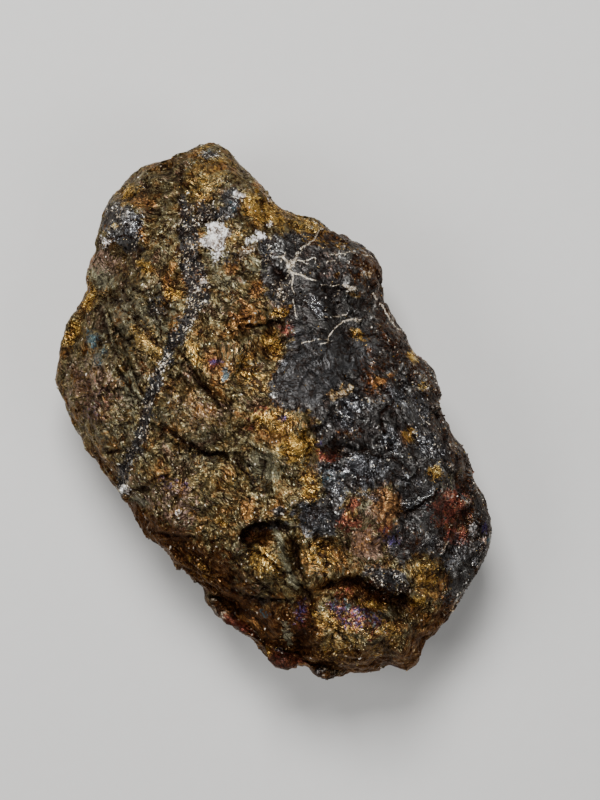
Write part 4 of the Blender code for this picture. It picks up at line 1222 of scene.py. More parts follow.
@dataclass(frozen=True)
class Grains:
    """Many small grains of one kind, half sunk in the skin, made as one mesh.

    The wanted zones draw the grains and the unwanted ones keep them off, each by its weight.
    """

    name: str
    seed: int
    count: int
    shape: Shape
    size: tuple[float, float]
    flatness: float
    lean: float
    proud: float
    wanted: dict[Zone, float]
    plain: float = 0.0
    jitter: float = 0.3
    length: float = 1.5
    order: float = 1.2
    own: Zone | None = None
    tones: tuple[float, float] = (0.0, 1.0)
    clumped: float = 0.0
    slot: str = "ore"
    clump: tuple[float, float] = (2.4, 8.7)
    clump_edge: float = 0.4
    floor_gap: tuple[float, float] = (0.8, 3.0)
    small_bias: float = 2.5
    variety: float = 0.5

    def weights(self, skin: Skin) -> Array:
        """How likely each face of the skin is to carry a grain.

        Args:
            skin: the surface that carries them.

        Returns:
            One share for each face. They add up to 1.
        """
        weight = np.full(len(skin.quads), self.plain)
        for zone, share in self.wanted.items():
            mask = skin.quad_mean(skin.masks[zone])
            weight = weight + share * mask if share > 0.0 else weight * (1.0 + share * mask)
        middles = skin.points[skin.quads].mean(axis=1)
        size, start = self.clump
        clumps = ease(0.0, self.clump_edge, layered(middles, size, start + self.seed, 2))
        weight = weight * (1.0 - self.clumped + self.clumped * clumps)
        weight = np.maximum(weight, 0.0) * skin.quad_areas() * ease(*self.floor_gap, middles[:, 2])
        return weight / weight.sum()

    def turns(self, random: np.random.Generator, normals: Array) -> Array:
        """A turn for each grain: its own third axis near the skin's normal, as far as lean allows.

        Args:
            random: the source of chance.
            normals: the skin's unit normals under the grains.

        Returns:
            One 3 by 3 turn for each grain.
        """
        third = normals + self.lean * random.normal(0.0, 1.0, normals.shape)
        third /= np.linalg.norm(third, axis=1)[:, None]
        run = np.array((math.sin(PLAN_TURN), math.cos(PLAN_TURN), 0.0))
        first = random.normal(0.0, 1.0, normals.shape) + self.order * run
        first -= (first * third).sum(axis=1)[:, None] * third
        first /= np.linalg.norm(first, axis=1)[:, None]
        return np.stack([first, np.cross(third, first), third], axis=2)

    def sites(self, skin: Skin, random: np.random.Generator) -> tuple[Array, Array, Array]:
        """Where the grains stand.

        Args:
            skin: the surface that carries them.
            random: the source of chance.

        Returns:
            The spots, the skin's unit normals there, and the corners of the faces under them.
        """
        quads = skin.quads[random.choice(len(skin.quads), self.count, p=self.weights(skin))]
        s, t = random.random((2, self.count, 1))
        a, b, c, d = (skin.points[quads[:, k]] for k in range(4))
        spots = (a * (1.0 - s) + b * s) * (1.0 - t) + (d * (1.0 - s) + c * s) * t
        return spots, self.facing(skin, quads), quads

    @staticmethod
    def facing(skin: Skin, quads: Array) -> Array:
        """The skin's unit normals at some faces."""
        normals = skin.normals[quads].mean(axis=1)
        return normals / np.linalg.norm(normals, axis=1)[:, None]

    def values(self, skin: Skin, quads: Array, tone: Array) -> dict[str, Array]:
        """The numbers that the finish reads on the grains.

        Args:
            skin: the surface that carries them.
            quads: the corners of the faces under them.
            tone: how bright each grain is.

        Returns:
            One number for each grain, by name.
        """
        if self.own:
            values = {zone.value: np.full(len(quads), float(zone is self.own)) for zone in Zone}
        else:
            values = {zone.value: skin.masks[zone][quads].mean(axis=1) for zone in Zone}
        values["tone"] = tone
        values["hollow"] = skin.hollow[quads].mean(axis=1)
        values["crack"] = skin.crack[quads].mean(axis=1)
        return values

    def build(self, skin: Skin, offset: Array, material: bpy.types.Material) -> bpy.types.Object:
        """Scatters the grains on the skin and joins them in one mesh.

        Args:
            skin: the surface that carries them.
            offset: the plan's move to the part's own place.
            material: their finish.

        Returns:
            The new object, in the part's frame.
        """
        random = np.random.default_rng(self.seed)
        spots, normals, quads = self.sites(skin, random)
        low, high = self.size
        size = low + (high - low) * random.random(len(spots)) ** self.small_bias
        corners, faces = self.shape.solid()
        local = corners * (1.0 + self.jitter * (random.random((len(spots), len(corners), 3)) - 0.5))
        stretch = 1.0 + self.variety * (random.random((len(spots), 3)) - 0.5)
        stretch *= (self.length, 1.0 / self.length, self.flatness)
        local = local * (stretch * size[:, None] / 2.0)[:, None, :]
        placed = np.einsum("nij,nkj->nki", self.turns(random, normals), local)
        placed += (spots + normals * (size * self.flatness * self.proud / 2.0)[:, None])[:, None, :]
        points = placed.reshape(-1, 3)
        points[:, 2] = np.maximum(points[:, 2], 0.0)
        each = np.arange(len(spots))[:, None, None] * len(corners)
        faces = (faces + each).reshape(-1, 3)
        dull, bright = self.tones
        tone = dull + (bright - dull) * random.random(len(spots))
        values = {
            label: np.repeat(numbers, len(corners))
            for label, numbers in self.values(skin, quads, tone).items()
        }
        return mesh_object(self.name, to_part(points, offset), faces, values, material)


@dataclass(frozen=True)
class Threads(Grains):
    """Fine mineral threads: small grains laid close along lines that are read on the face."""

    lines: tuple[Streak, ...] = ()
    gaps: float = -0.15
    gap_noise: tuple[float, float, int] = (1.3, 77.7, 2)
    least_width: float = 0.1
    taper: float = 0.7
    spread: float = 0.45

    def sites(self, skin: Skin, random: np.random.Generator) -> tuple[Array, Array, Array]:
        """Where the grains stand: along the lines, each where the eye's ray meets the skin.

        Args:
            skin: the surface that carries them.
            random: the source of chance.

        Returns:
            The spots, the skin's unit normals there, and the corners of the faces under them.
        """
        tree = BVHTree.FromPolygons(skin.points.tolist(), skin.quads.tolist())
        eye = Vector((*EYE_OVER, RIM_HEIGHT + EYE_HEIGHT))
        places = self.places(random)
        kept = layered(places, *self.gap_noise) > self.gaps
        places[:, :2] -= bends(places)
        spots, faces = [], []
        for place in places[kept]:
            spot, _, face, _ = tree.ray_cast(eye, Vector(place) - eye)
            if spot is not None:
                spots.append(spot)
                faces.append(face)
        quads = skin.quads[faces]
        return np.array(spots), self.facing(skin, quads), quads

    def places(self, random: np.random.Generator) -> Array:
        """Places along the lines, with more of them on long and wide lines.

        Args:
            random: the source of chance.

        Returns:
            The places, at the widest level.
        """
        corners = [np.array(line.points) for line in self.lines]
        steps = [np.linalg.norm(np.diff(points, axis=0), axis=1) for points in corners]
        share = np.array([
            step.sum() * line.strength * (line.half_width + self.least_width)
            for step, line in zip(steps, self.lines)
        ])
        counts = self.count * share / share.sum()
        laid = []
        for line, points, step, count in zip(self.lines, corners, steps, counts):
            way = np.concatenate([[0.0], np.cumsum(step)])
            where = random.random(int(count)) * way[-1]
            width = line.half_width * self.spread * (1.0 - self.taper * where[:, None] / way[-1])
            spot = np.stack([np.interp(where, way, points[:, axis]) for axis in range(2)], axis=1)
            laid.append(spot + width * random.normal(0.0, 1.0, spot.shape))
        flat = np.concatenate(laid)
        return np.concatenate([flat, np.full((len(flat), 1), RIM_HEIGHT)], axis=1)


Number = "Value | float"


@dataclass(frozen=True)
class Value:
    """A number that varies over a surface. Sums on it add Math nodes to the material."""

    paint: "Paint"
    socket: Socket

    def sum(self, operation: str, first: Number, second: Number = 0.0) -> "Value":
        """Adds one Math node."""
        inputs = {0: first, 1: second}
        return Value(self.paint, self.paint.node("Math", {"operation": operation}, inputs))

    def __add__(self, other: Number) -> "Value":
        """This plus another."""
        return self.sum("ADD", self, other)

    def __sub__(self, other: Number) -> "Value":
        """This less another."""
        return self.sum("SUBTRACT", self, other)

    def __mul__(self, other: Number) -> "Value":
        """This times another."""
        return self.sum("MULTIPLY", self, other)

    def __rsub__(self, other: float) -> "Value":
        """A number less this."""
        return self.sum("SUBTRACT", other, self)

    def eased(self, low: float, high: float) -> "Value":
        """Eases from 0 at low to 1 at high."""
        settings = {"interpolation_type": "SMOOTHSTEP"}
        inputs = {"Value": self, "From Min": low, "From Max": high}
        return Value(self.paint, self.paint.node("MapRange", settings, inputs))

    def near(self, level: float, width: float, core: float = 0.4) -> "Value":
        """Thin lines along a noise.

        Args:
            level: the value along the middle of a line.
            width: how far from it the line ends.
            core: the share of the width that is wholly covered.

        Returns:
            1 in the line's core, and 0 off it.
        """
        apart = self.sum("ABSOLUTE", self - level)
        return 1.0 - apart.eased(width * core, width)

    def clamped(self) -> "Value":
        """Kept between 0 and 1."""
        return Value(self.paint, self.paint.node("Clamp", {}, {"Value": self}))


Colour = tuple[float, float, float]
Stops = tuple[tuple[float, Colour], ...]


class Paint:
    """A material, and the short ways in which the finishes add nodes to it."""

    def __init__(self, name: str) -> None:
        """Starts a material with only its shader.

        Args:
            name: the material's name.
        """
        self.material = bpy.data.materials.new(name)
        self.material.use_nodes = True
        self.tree = self.material.node_tree
        self.shader = self.tree.nodes["Principled BSDF"]

    def fill(self, entry: Socket, value: object) -> None:
        """Sets a socket, or links it.

        Args:
            entry: the socket.
            value: a number, a colour, or what is linked to it.
        """
        if isinstance(value, Value):
            self.tree.links.new(value.socket, entry)
        elif isinstance(value, Socket):
            self.tree.links.new(value, entry)
        elif entry.type == "RGBA" and len(value) == 3:
            entry.default_value = (*value, 1.0)
        else:
            entry.default_value = value

    def node(self, kind: str, settings: dict, inputs: dict, output: int | str = 0) -> Socket:
        """Adds a node.

        Args:
            kind: its type, without the words in front that all shader nodes share.
            settings: its own settings, which are set first. A ramp's stops are one of them.
            inputs: values or links of its sockets.
            output: the socket that is wanted.

        Returns:
            That output socket.
        """
        node = self.tree.nodes.new("ShaderNode" + kind)
        for setting, value in settings.items():
            if setting == "stops":
                self.set_stops(node.color_ramp.elements, value)
            else:
                setattr(node, setting, value)
        for entry, value in inputs.items():
            self.fill(node.inputs[entry], value)
        return node.outputs[output]

    @staticmethod
    def set_stops(elements: bpy.types.ColorRampElements, stops: Stops) -> None:
        """Gives a ramp its stops.

        Args:
            elements: the ramp's own stops.
            stops: the wanted places and colours.
        """
        while len(elements) < len(stops):
            elements.new(1.0)
        for element, (place, colour) in zip(elements, stops):
            element.position = place
            element.color = (*colour, 1.0)

    def ramp(self, value: Value, stops: Stops) -> Socket:
        """A colour for each value."""
        return self.node("ValToRGB", {"stops": stops}, {"Fac": value})

    def mix(self, factor: Number, first: object, second: object) -> Socket:
        """The first colour where the factor is 0 and the second where it is 1."""
        inputs = {0: factor, 6: first, 7: second}
        return self.node("Mix", {"data_type": "RGBA"}, inputs, 2)

    def shade(self, colour: object, by: Value) -> Socket:
        """A colour times a number."""
        return self.node("VectorMath", {"operation": "SCALE"}, {"Vector": colour, "Scale": by})

    def kept(self, label: str) -> Value:
        """A number kept at the mesh's points."""
        settings = {"attribute_type": "GEOMETRY", "attribute_name": label}
        return Value(self, self.node("Attribute", settings, {}, "Fac"))

    def place(self) -> Socket:
        """The place on the object, in millimetres."""
        inputs = {"Vector": self.node("TexCoord", {}, {}, "Object"), "Scale": 1.0 / MM}
        return self.node("VectorMath", {"operation": "SCALE"}, inputs)

    def noise(self, place: object, size: float, detail: float = 2.0, rough: float = 0.55) -> Value:
        """Soft noise of about 0 to 1, with bumps of one size in millimetres."""
        inputs = {"Vector": place, "Scale": 1.0 / size, "Detail": detail, "Roughness": rough}
        return Value(self, self.node("TexNoise", {}, inputs, "Fac"))

    def grain(self, place: object, size: float) -> Socket:
        """A random colour for each of the grains of one size in millimetres."""
        return self.node("TexVoronoi", {}, {"Vector": place, "Scale": 1.0 / size}, "Color")

    def parts(self, colour: object) -> tuple[Value, Value, Value]:
        """A colour's three numbers."""
        split = self.node("SeparateColor", {}, {"Color": colour}).node
        return tuple(Value(self, output) for output in split.outputs)

    def tilted(self, leans: dict[object, Value]) -> Socket:
        """The surface's normal, leaned at random by its grains.

        Args:
            leans: the grains' random colours, each with the strength of its lean.

        Returns:
            The leaned normal.
        """
        normal = self.node("NewGeometry", {}, {}, "Normal")
        for colour, strength in leans.items():
            middle = {0: colour, 1: (0.5, 0.5, 0.5)}
            offset = self.node("VectorMath", {"operation": "SUBTRACT"}, middle)
            lean = self.shade(offset, strength)
            normal = self.node("VectorMath", {"operation": "ADD"}, {0: normal, 1: lean})
        return self.node("VectorMath", {"operation": "NORMALIZE"}, {0: normal})

    def bumped(self, height: Value, distance: float, normal: object) -> Socket:
        """A normal with relief of that depth in millimetres."""
        inputs = {"Height": height, "Distance": distance * MM, "Normal": normal}
        return self.node("Bump", {}, inputs)


@dataclass(frozen=True)
class Tint:
    """How one zone looks: its tones from dull to bright grains, and its shine."""

    tones: Stops
    metallic: float
    roughness: float
    ragged: float = 0.5
    most: float = 1.0


BRASS = Tint((
    (0.0, (0.011, 0.004, 0.0012)),
    (0.25, (0.052, 0.03, 0.012)),
    (0.5, (0.15, 0.108, 0.052)),
    (0.68, (0.29, 0.232, 0.135)),
    (0.85, (0.58, 0.51, 0.36)),
    (1.0, (1.0, 0.96, 0.84)),
), 0.8, 0.42)

HUES: Stops = (
    (0.26, (1.24, 0.77, 0.4)),
    (0.4, (1.08, 0.98, 0.76)),
    (0.52, (0.98, 1.06, 0.94)),
    (0.62, (0.88, 1.03, 1.12)),
    (0.74, (1.1, 0.9, 1.02)),
)

TINTS: dict[Zone, Tint] = {
    Zone.DARK: Tint((
        (0.0, (0.003, 0.003, 0.0035)), (0.3, (0.02, 0.019, 0.0195)), (0.5, (0.048, 0.047, 0.047)),
        (0.7, (0.11, 0.108, 0.108)), (0.88, (0.32, 0.315, 0.305)), (1.0, (0.9, 0.88, 0.84)),
    ), 0.6, 0.4, 0.55, 0.95),
    Zone.SLATE: Tint((
        (0.0, (0.004, 0.004, 0.0042)), (0.3, (0.022, 0.0217, 0.0225)), (0.6, (0.06, 0.06, 0.062)),
        (1.0, (0.32, 0.32, 0.32)),
    ), 0.5, 0.46, 0.7, 0.85),
    # Its reddish darks are partly painted reflected light: a red cast on the lower part.
    Zone.UMBER: Tint((
        (0.0, (0.012, 0.0015, 0.0003)), (0.35, (0.05, 0.0145, 0.003)), (0.6, (0.11, 0.046, 0.013)),
        (0.8, (0.24, 0.135, 0.05)), (1.0, (0.75, 0.56, 0.32)),
    ), 0.9, 0.42, 0.9, 0.95),
    Zone.GREEN: Tint((
        (0.0, (0.018, 0.016, 0.009)), (0.4, (0.14, 0.132, 0.08)),
        (0.75, (0.34, 0.315, 0.195)), (1.0, (0.85, 0.82, 0.6)),
    ), 0.5, 0.5, 0.9, 0.85),
    Zone.MAUVE: Tint((
        (0.0, (0.04, 0.02, 0.014)), (0.35, (0.24, 0.14, 0.1)),
        (0.7, (0.58, 0.37, 0.27)), (1.0, (1.0, 0.82, 0.68)),
    ), 0.6, 0.45, 0.9, 0.85),
    Zone.RUST: Tint((
        (0.0, (0.024, 0.006, 0.0015)), (0.35, (0.175, 0.072, 0.022)),
        (0.7, (0.54, 0.265, 0.07)), (1.0, (1.0, 0.72, 0.34)),
    ), 0.75, 0.42, 0.9, 0.85),
    Zone.GOLD: Tint((
        (0.0, (0.04, 0.012, 0.002)), (0.25, (0.18, 0.082, 0.015)),
        (0.5, (0.52, 0.31, 0.065)), (0.75, (0.92, 0.66, 0.23)), (1.0, (1.0, 0.92, 0.62)),
    ), 0.85, 0.34, 0.8, 0.9),
    Zone.TEAL: Tint((
        (0.0, (0.005, 0.012, 0.016)), (0.4, (0.022, 0.06, 0.078)),
        (0.7, (0.07, 0.165, 0.2)), (1.0, (0.32, 0.48, 0.52)),
    ), 0.6, 0.4, 1.2, 0.8),
    Zone.CRIMSON: Tint((
        (0.0, (0.014, 0.002, 0.0015)), (0.4, (0.095, 0.019, 0.013)),
        (0.7, (0.34, 0.085, 0.045)), (1.0, (0.92, 0.46, 0.27)),
    ), 0.7, 0.4, 1.0, 0.85),
    Zone.VIOLET: Tint((
        (0.0, (0.006, 0.004, 0.016)), (0.4, (0.045, 0.03, 0.1)),
        (0.7, (0.16, 0.115, 0.29)), (1.0, (0.6, 0.5, 0.68)),
    ), 0.7, 0.38, 1.1, 0.9),
    Zone.SILVER: Tint((
        (0.0, (0.006, 0.006, 0.0075)), (0.35, (0.045, 0.045, 0.049)), (0.55, (0.16, 0.162, 0.172)),
        (0.75, (0.5, 0.505, 0.525)), (1.0, (1.0, 1.0, 1.0)),
    ), 0.8, 0.24, 1.0, 0.85),
    Zone.VEIN: Tint((
        (0.0, (0.003, 0.003, 0.004)), (0.5, (0.016, 0.016, 0.018)),
        (0.75, (0.07, 0.07, 0.072)), (0.9, (0.4, 0.39, 0.35)), (1.0, (0.95, 0.94, 0.88)),
    ), 0.4, 0.34, 1.0, 0.95),
    Zone.CREAM: Tint((
        (0.0, (0.12, 0.085, 0.05)), (0.35, (0.45, 0.36, 0.25)),
        (0.65, (0.84, 0.73, 0.58)), (1.0, (1.0, 0.95, 0.87)),
    ), 0.0, 0.5, 1.0, 0.9),
    Zone.QUARTZ: Tint((
        (0.0, (0.12, 0.09, 0.07)), (0.2, (0.5, 0.43, 0.38)), (0.45, (0.88, 0.84, 0.8)),
        (0.7, (1.0, 0.99, 0.98)),
    ), 0.0, 0.4, 0.7),
}


class OreFabric(Paint):
    """An ore material in the making, with the noises that its colour and shine are made of."""

    def __init__(self, finish: "OreFinish") -> None:
        """Sets up the noises that the whole finish shares.

        Args:
            finish: the sizes of the grains, and how the colours scatter.
        """
        super().__init__(finish.name)
        self.spot = self.place()
        self.flow = self.fibres(finish)
        self.fines = self.grain(self.flow, finish.fine_grain)
        self.plates = self.grain(self.spot, finish.plate)
        self.coarse, self.wear, self.coarse_chance = self.parts(self.grain(self.flow, finish.grain))
        self.fine, self.sparkle, self.fine_chance = self.parts(self.fines)
        self.plate, _, self.plate_gloss = self.parts(self.plates)
        self.patches = self.noise(self.spot, size=9.0, detail=3.0)
        self.dark = self.kept(Zone.DARK.value)
        self.hollow = self.kept("hollow")
        self.crack = self.cracks()
        steel = self.dark * (1.0 - self.kept(Zone.SLATE.value))
        self.sheen = self.noise(self.spot, size=4.5).eased(0.46, 0.58) * steel
        self.scatter = self.scattered(finish)

    def fibres(self, finish: "OreFinish") -> Socket:
        """The place on the object, drawn out along fibres that sway.

        Args:
            finish: the fibres' run, their length and their sway.

        Returns:
            The drawn out place.
        """
        inputs = {"Vector": self.spot, "Scale": 1.0 / finish.sway_size, "Detail": 2.0}
        sway = self.node("TexNoise", {}, inputs, "Color")
        moves = {0: sway, 1: (finish.sway_reach,) * 3, 2: self.spot}
        swept = self.node("VectorMath", {"operation": "MULTIPLY_ADD"}, moves)
        turn = {"Vector": swept, "Angle": finish.fibre_turn}
        turned = self.node("VectorRotate", {"rotation_type": "Z_AXIS"}, turn)
        return self.node("VectorMath", {"operation": "MULTIPLY"}, {0: turned, 1: finish.fibre})

    def cracks(self) -> Value:
        """Where the ground is cracked: lines by chance, which stand for fine cracks and for the shadows
        of fine ridges, and the cracks read on the face. The finish darkens them all as painted shade.

        Returns:
            The cracks, from 0 to 1.
        """
        lines = self.noise(self.flow, size=3.0, detail=3.0, rough=0.5).near(0.5, width=0.03)
        hairs = self.noise(self.flow, size=1.2, rough=0.5).near(0.5, width=0.05)
        hairs = hairs * self.noise(self.spot, size=4.0).eased(0.4, 0.6)
        return (lines * 0.8 + hairs * 0.6 + self.kept("crack") * 0.5).clamped()

    def scattered(self, finish: "OreFinish") -> Value:
        """Differences of about -1 to 1 from grain to grain, by which colours mix.

        Args:
            finish: the strength of each kind of difference.

        Returns:
            The sum of the differences.
        """
        grains = (self.fine_chance - 0.5) * finish.fine_scatter
        grains = grains + (self.coarse_chance - 0.5) * finish.coarse_scatter
        soft = self.noise(self.flow, size=1.6, detail=4.0, rough=0.6) - 0.5
        return grains + soft * finish.soft_scatter

    def weighed(self, coarse: float, fine: float, patches: float, start: float) -> Value:
        """The tone that the grains and patches add up to, each by its share."""
        return self.coarse * coarse + self.fine * fine + self.patches * patches + start


@dataclass(frozen=True)
class OreFinish:
    """The finish of the lump and its grains: one base of brassy grains, painted by the zones."""

    name: str
    sorted_grains: bool = False
    gloss: float = 0.75
    grain: float = 0.5
    fine_grain: float = 0.25
    plate: float = 1.5
    spot: float = 0.55
    shine: float = 0.4
    edge_tint: Colour = (0.68, 0.62, 0.56)
    fibre: tuple[float, float, float] = (1.0, 0.62, 0.95)
    fibre_turn: float = math.radians(-20.0)
    sway_size: float = 10.0
    sway_reach: float = 9.0
    brassy: tuple[float, float, float, float] = (0.17, 0.24, 0.17, -0.04)
    steely: tuple[float, float, float, float] = (0.14, 0.4, 0.3, -0.085)
    loose: tuple[float, float, float, float] = (0.0, 0.2, 0.3, -0.22)
    kept_tone: float = 0.8
    streak_tone: float = 0.24
    plate_tone: float = 0.46
    plate_start: float = -0.04
    glint_tone: float = 0.28
    # Painted shade in hollows and a painted highlight on ridges:
    hollow_shade_and_ridge_light: float = 0.09
    # Painted shade along cracks and lines:
    crack_shade_tone: float = 0.28
    fine_scatter: float = 0.65
    coarse_scatter: float = 0.55
    soft_scatter: float = 1.5
    hue_patches: float = 1.3
    hue_scatter: float = 0.22
    wear: float = 0.3
    own_scatter: float = 0.9
    mask_gain: float = 1.1
    mask_foot: tuple[float, float] = (0.02, 0.3)
    cover_edge: tuple[float, float] = (0.25, 0.75)
    # Dark soot and painted shade in hollows and cracks:
    soot_and_shade: Colour = (0.012, 0.005, 0.0025)
    hollow_soot_and_shade: float = 0.25
    crack_soot_and_shade: float = 0.6
    quartz_less_soot_and_shade: float = 0.8
    lean: float = 0.9
    loose_lean: float = 0.3
    dark_lean: float = 0.45
    plate_lean: float = 1.1
    plate_shine: float = 0.18
    bump_depth: float = 0.12
    speck_bump: float = 0.7
    pit_bump: float = 1.5
    crack_bump: float = 1.5

    def ground_tone(self, fabric: OreFabric) -> Value:
        """How bright each grain of the body is, before hollows and cracks.

        Args:
            fabric: the material in the making.

        Returns:
            The tone, of about 0 to 1.
        """
        streaks = fabric.noise(fabric.flow, size=0.6, detail=3.0, rough=0.6).eased(0.3, 0.7)
        brassy = fabric.weighed(*self.brassy) + streaks * self.streak_tone
        plates = fabric.sheen * (fabric.plate * self.plate_tone + self.plate_start)
        steely = fabric.weighed(*self.steely) + plates
        glint = fabric.sparkle.eased(0.87, 0.92) * fabric.noise(fabric.spot, size=5.0).eased(0.35, 0.55)
        glint = glint * (1.0 - fabric.dark + fabric.dark * fabric.sheen)
        return brassy + fabric.dark * (steely - brassy) + glint * self.glint_tone

    def tone(self, fabric: OreFabric) -> Value:
        """How bright each grain is, before the zones: darker in hollows as painted shade, lighter on
        ridges as a painted highlight, and darker along cracks and lines as painted shade.

        Args:
            fabric: the material in the making.

        Returns:
            The tone, of about 0 to 1.
        """
        if self.sorted_grains:
            tone = fabric.kept("tone") * self.kept_tone + fabric.weighed(*self.loose)
        else:
            tone = self.ground_tone(fabric)
        # Painted shade in the hollows, and a painted highlight on the ridges.
        tone = tone - fabric.hollow.eased(0.0, 1.0) * self.hollow_shade_and_ridge_light
        tone = tone + (0.0 - fabric.hollow).eased(0.1, 0.9) * self.hollow_shade_and_ridge_light
        # Painted shade along the cracks and lines.
        return tone - fabric.crack * self.crack_shade_tone

    def worn(self, fabric: OreFabric, middle: float) -> Value:
        """A roughness that differs from grain to grain about a middle."""
        return fabric.wear * self.wear + (middle - self.wear / 2.0)

    def cover(self, fabric: OreFabric, zone: Zone, torn: Value) -> Value:
        """How far one zone's tint covers the grains.

        Args:
            fabric: the material in the making.
            zone: the kind of ground.
            torn: the differences that tear its edge.

        Returns:
            The cover, from 0 to 1.
        """
        mask = fabric.kept(zone.value)
        cover = (mask * self.mask_gain - (self.mask_gain - 1.0) / 2.0 + torn).eased(*self.cover_edge)
        return cover * mask.eased(*self.mask_foot) * TINTS[zone].most

    def painted(self, fabric: OreFabric, tone: Value) -> tuple[Socket, Value, Value]:
        """The base of brassy grains with every zone's tint over it.

        Args:
            fabric: the material in the making.
            tone: how bright each grain is.

        Returns:
            The colour, how metallic it is, and its roughness.
        """
        patches = fabric.noise(fabric.spot, size=5.5, detail=3.0) - 0.5
        hue = patches * self.hue_patches + 0.5 + fabric.scatter * self.hue_scatter
        base = {0: fabric.ramp(tone, BRASS.tones), 1: fabric.ramp(hue, HUES)}
        colour = fabric.node("VectorMath", {"operation": "MULTIPLY"}, base)
        metallic = Value(fabric, fabric.node("Clamp", {}, {"Value": BRASS.metallic}))
        roughness = self.worn(fabric, BRASS.roughness)
        spots = fabric.parts(fabric.grain(fabric.spot, self.spot))
        own = dict(zip((Zone.CRIMSON, Zone.TEAL, Zone.VIOLET), spots))
        for zone, tint in TINTS.items():
            if zone in own:
                torn = (own[zone] - 0.5) * self.own_scatter
            else:
                torn = fabric.scatter * tint.ragged
            cover = self.cover(fabric, zone, torn)
            colour = fabric.mix(cover, colour, fabric.ramp(tone, tint.tones))
            metallic = metallic + cover * (tint.metallic - metallic)
            roughness = roughness + cover * (self.worn(fabric, tint.roughness) - roughness)
        return colour, metallic, roughness

    def sooted_and_shaded(self, fabric: OreFabric, colour: Socket) -> Socket:
        """Puts dark soot and painted shade in the hollows and cracks, and less of it on the quartz.

        Args:
            fabric: the material in the making.
            colour: the clean colour.

        Returns:
            The dirty colour.
        """
        # Soot and painted shade: dark in deep hollows and along cracks.
        soot_and_shade = fabric.hollow.eased(0.3, 1.0) * self.hollow_soot_and_shade + fabric.crack * self.crack_soot_and_shade
        soot_and_shade = soot_and_shade * (1.0 - fabric.kept(Zone.QUARTZ.value) * self.quartz_less_soot_and_shade)
        return fabric.mix(soot_and_shade, colour, self.soot_and_shade)

    def leans(self, fabric: OreFabric) -> dict[Socket, Value]:
        """How far each kind of grain leans out of the surface.

        Args:
            fabric: the material in the making.

        Returns:
            The strength of the lean, by the grains' random colours.
        """
        lean = fabric.sparkle * self.lean
        if self.sorted_grains:
            return {fabric.fines: lean * self.loose_lean}
        fines = lean * (1.0 - fabric.dark * self.dark_lean)
        return {fabric.fines: fines, fabric.plates: fabric.sheen * self.plate_lean}

    def material(self) -> bpy.types.Material:
        """Makes the material.

        Returns:
            The finished material.
        """
        fabric = OreFabric(self)
        colour, metallic, roughness = self.painted(fabric, self.tone(fabric))
        if not self.sorted_grains:
            roughness = roughness - fabric.sheen * fabric.plate_gloss * self.plate_shine
        specks = fabric.noise(fabric.flow, size=0.2, detail=1.0) * self.speck_bump
        pits = fabric.noise(fabric.flow, size=0.6, detail=3.0) * self.pit_bump
        bumps = specks + pits - fabric.crack * self.crack_bump
        inputs = {
            "Base Color": self.sooted_and_shaded(fabric, colour),
            "Metallic": metallic.clamped(),
            "Roughness": roughness * self.gloss,
            "Normal": fabric.bumped(bumps, self.bump_depth, fabric.tilted(self.leans(fabric))),
            "Specular IOR Level": self.shine,
            "Specular Tint": self.edge_tint,
        }
        for entry, value in inputs.items():
            fabric.fill(fabric.shader.inputs[entry], value)
        return fabric.material


@dataclass(frozen=True)
class Lamp:
    """A square of soft light: the way it lies from the lump, its distance, size and power."""

    name: str
    azimuth_deg: float
    elevation_deg: float
    distance: float
    size: float
    power: float

    def place(self, target: Vector) -> None:
        """Adds the light. Azimuth 0 is the plan's right, and 90 its top.

        Args:
            target: the point that it is aimed at.
        """
        turn = math.radians(self.azimuth_deg) - PLAN_TURN
        rise = math.radians(self.elevation_deg)
        way = Vector((math.cos(turn) * math.cos(rise), math.sin(turn) * math.cos(rise), math.sin(rise)))
        light = bpy.data.lights.new(self.name, "AREA")
        light.size = self.size
        light.energy = self.power
        lamp = bpy.data.objects.new(self.name, light)
        lamp.location = target + way * self.distance
        lamp.rotation_euler = (-way).to_track_quat("-Z", "Y").to_euler()
        bpy.context.scene.collection.objects.link(lamp)


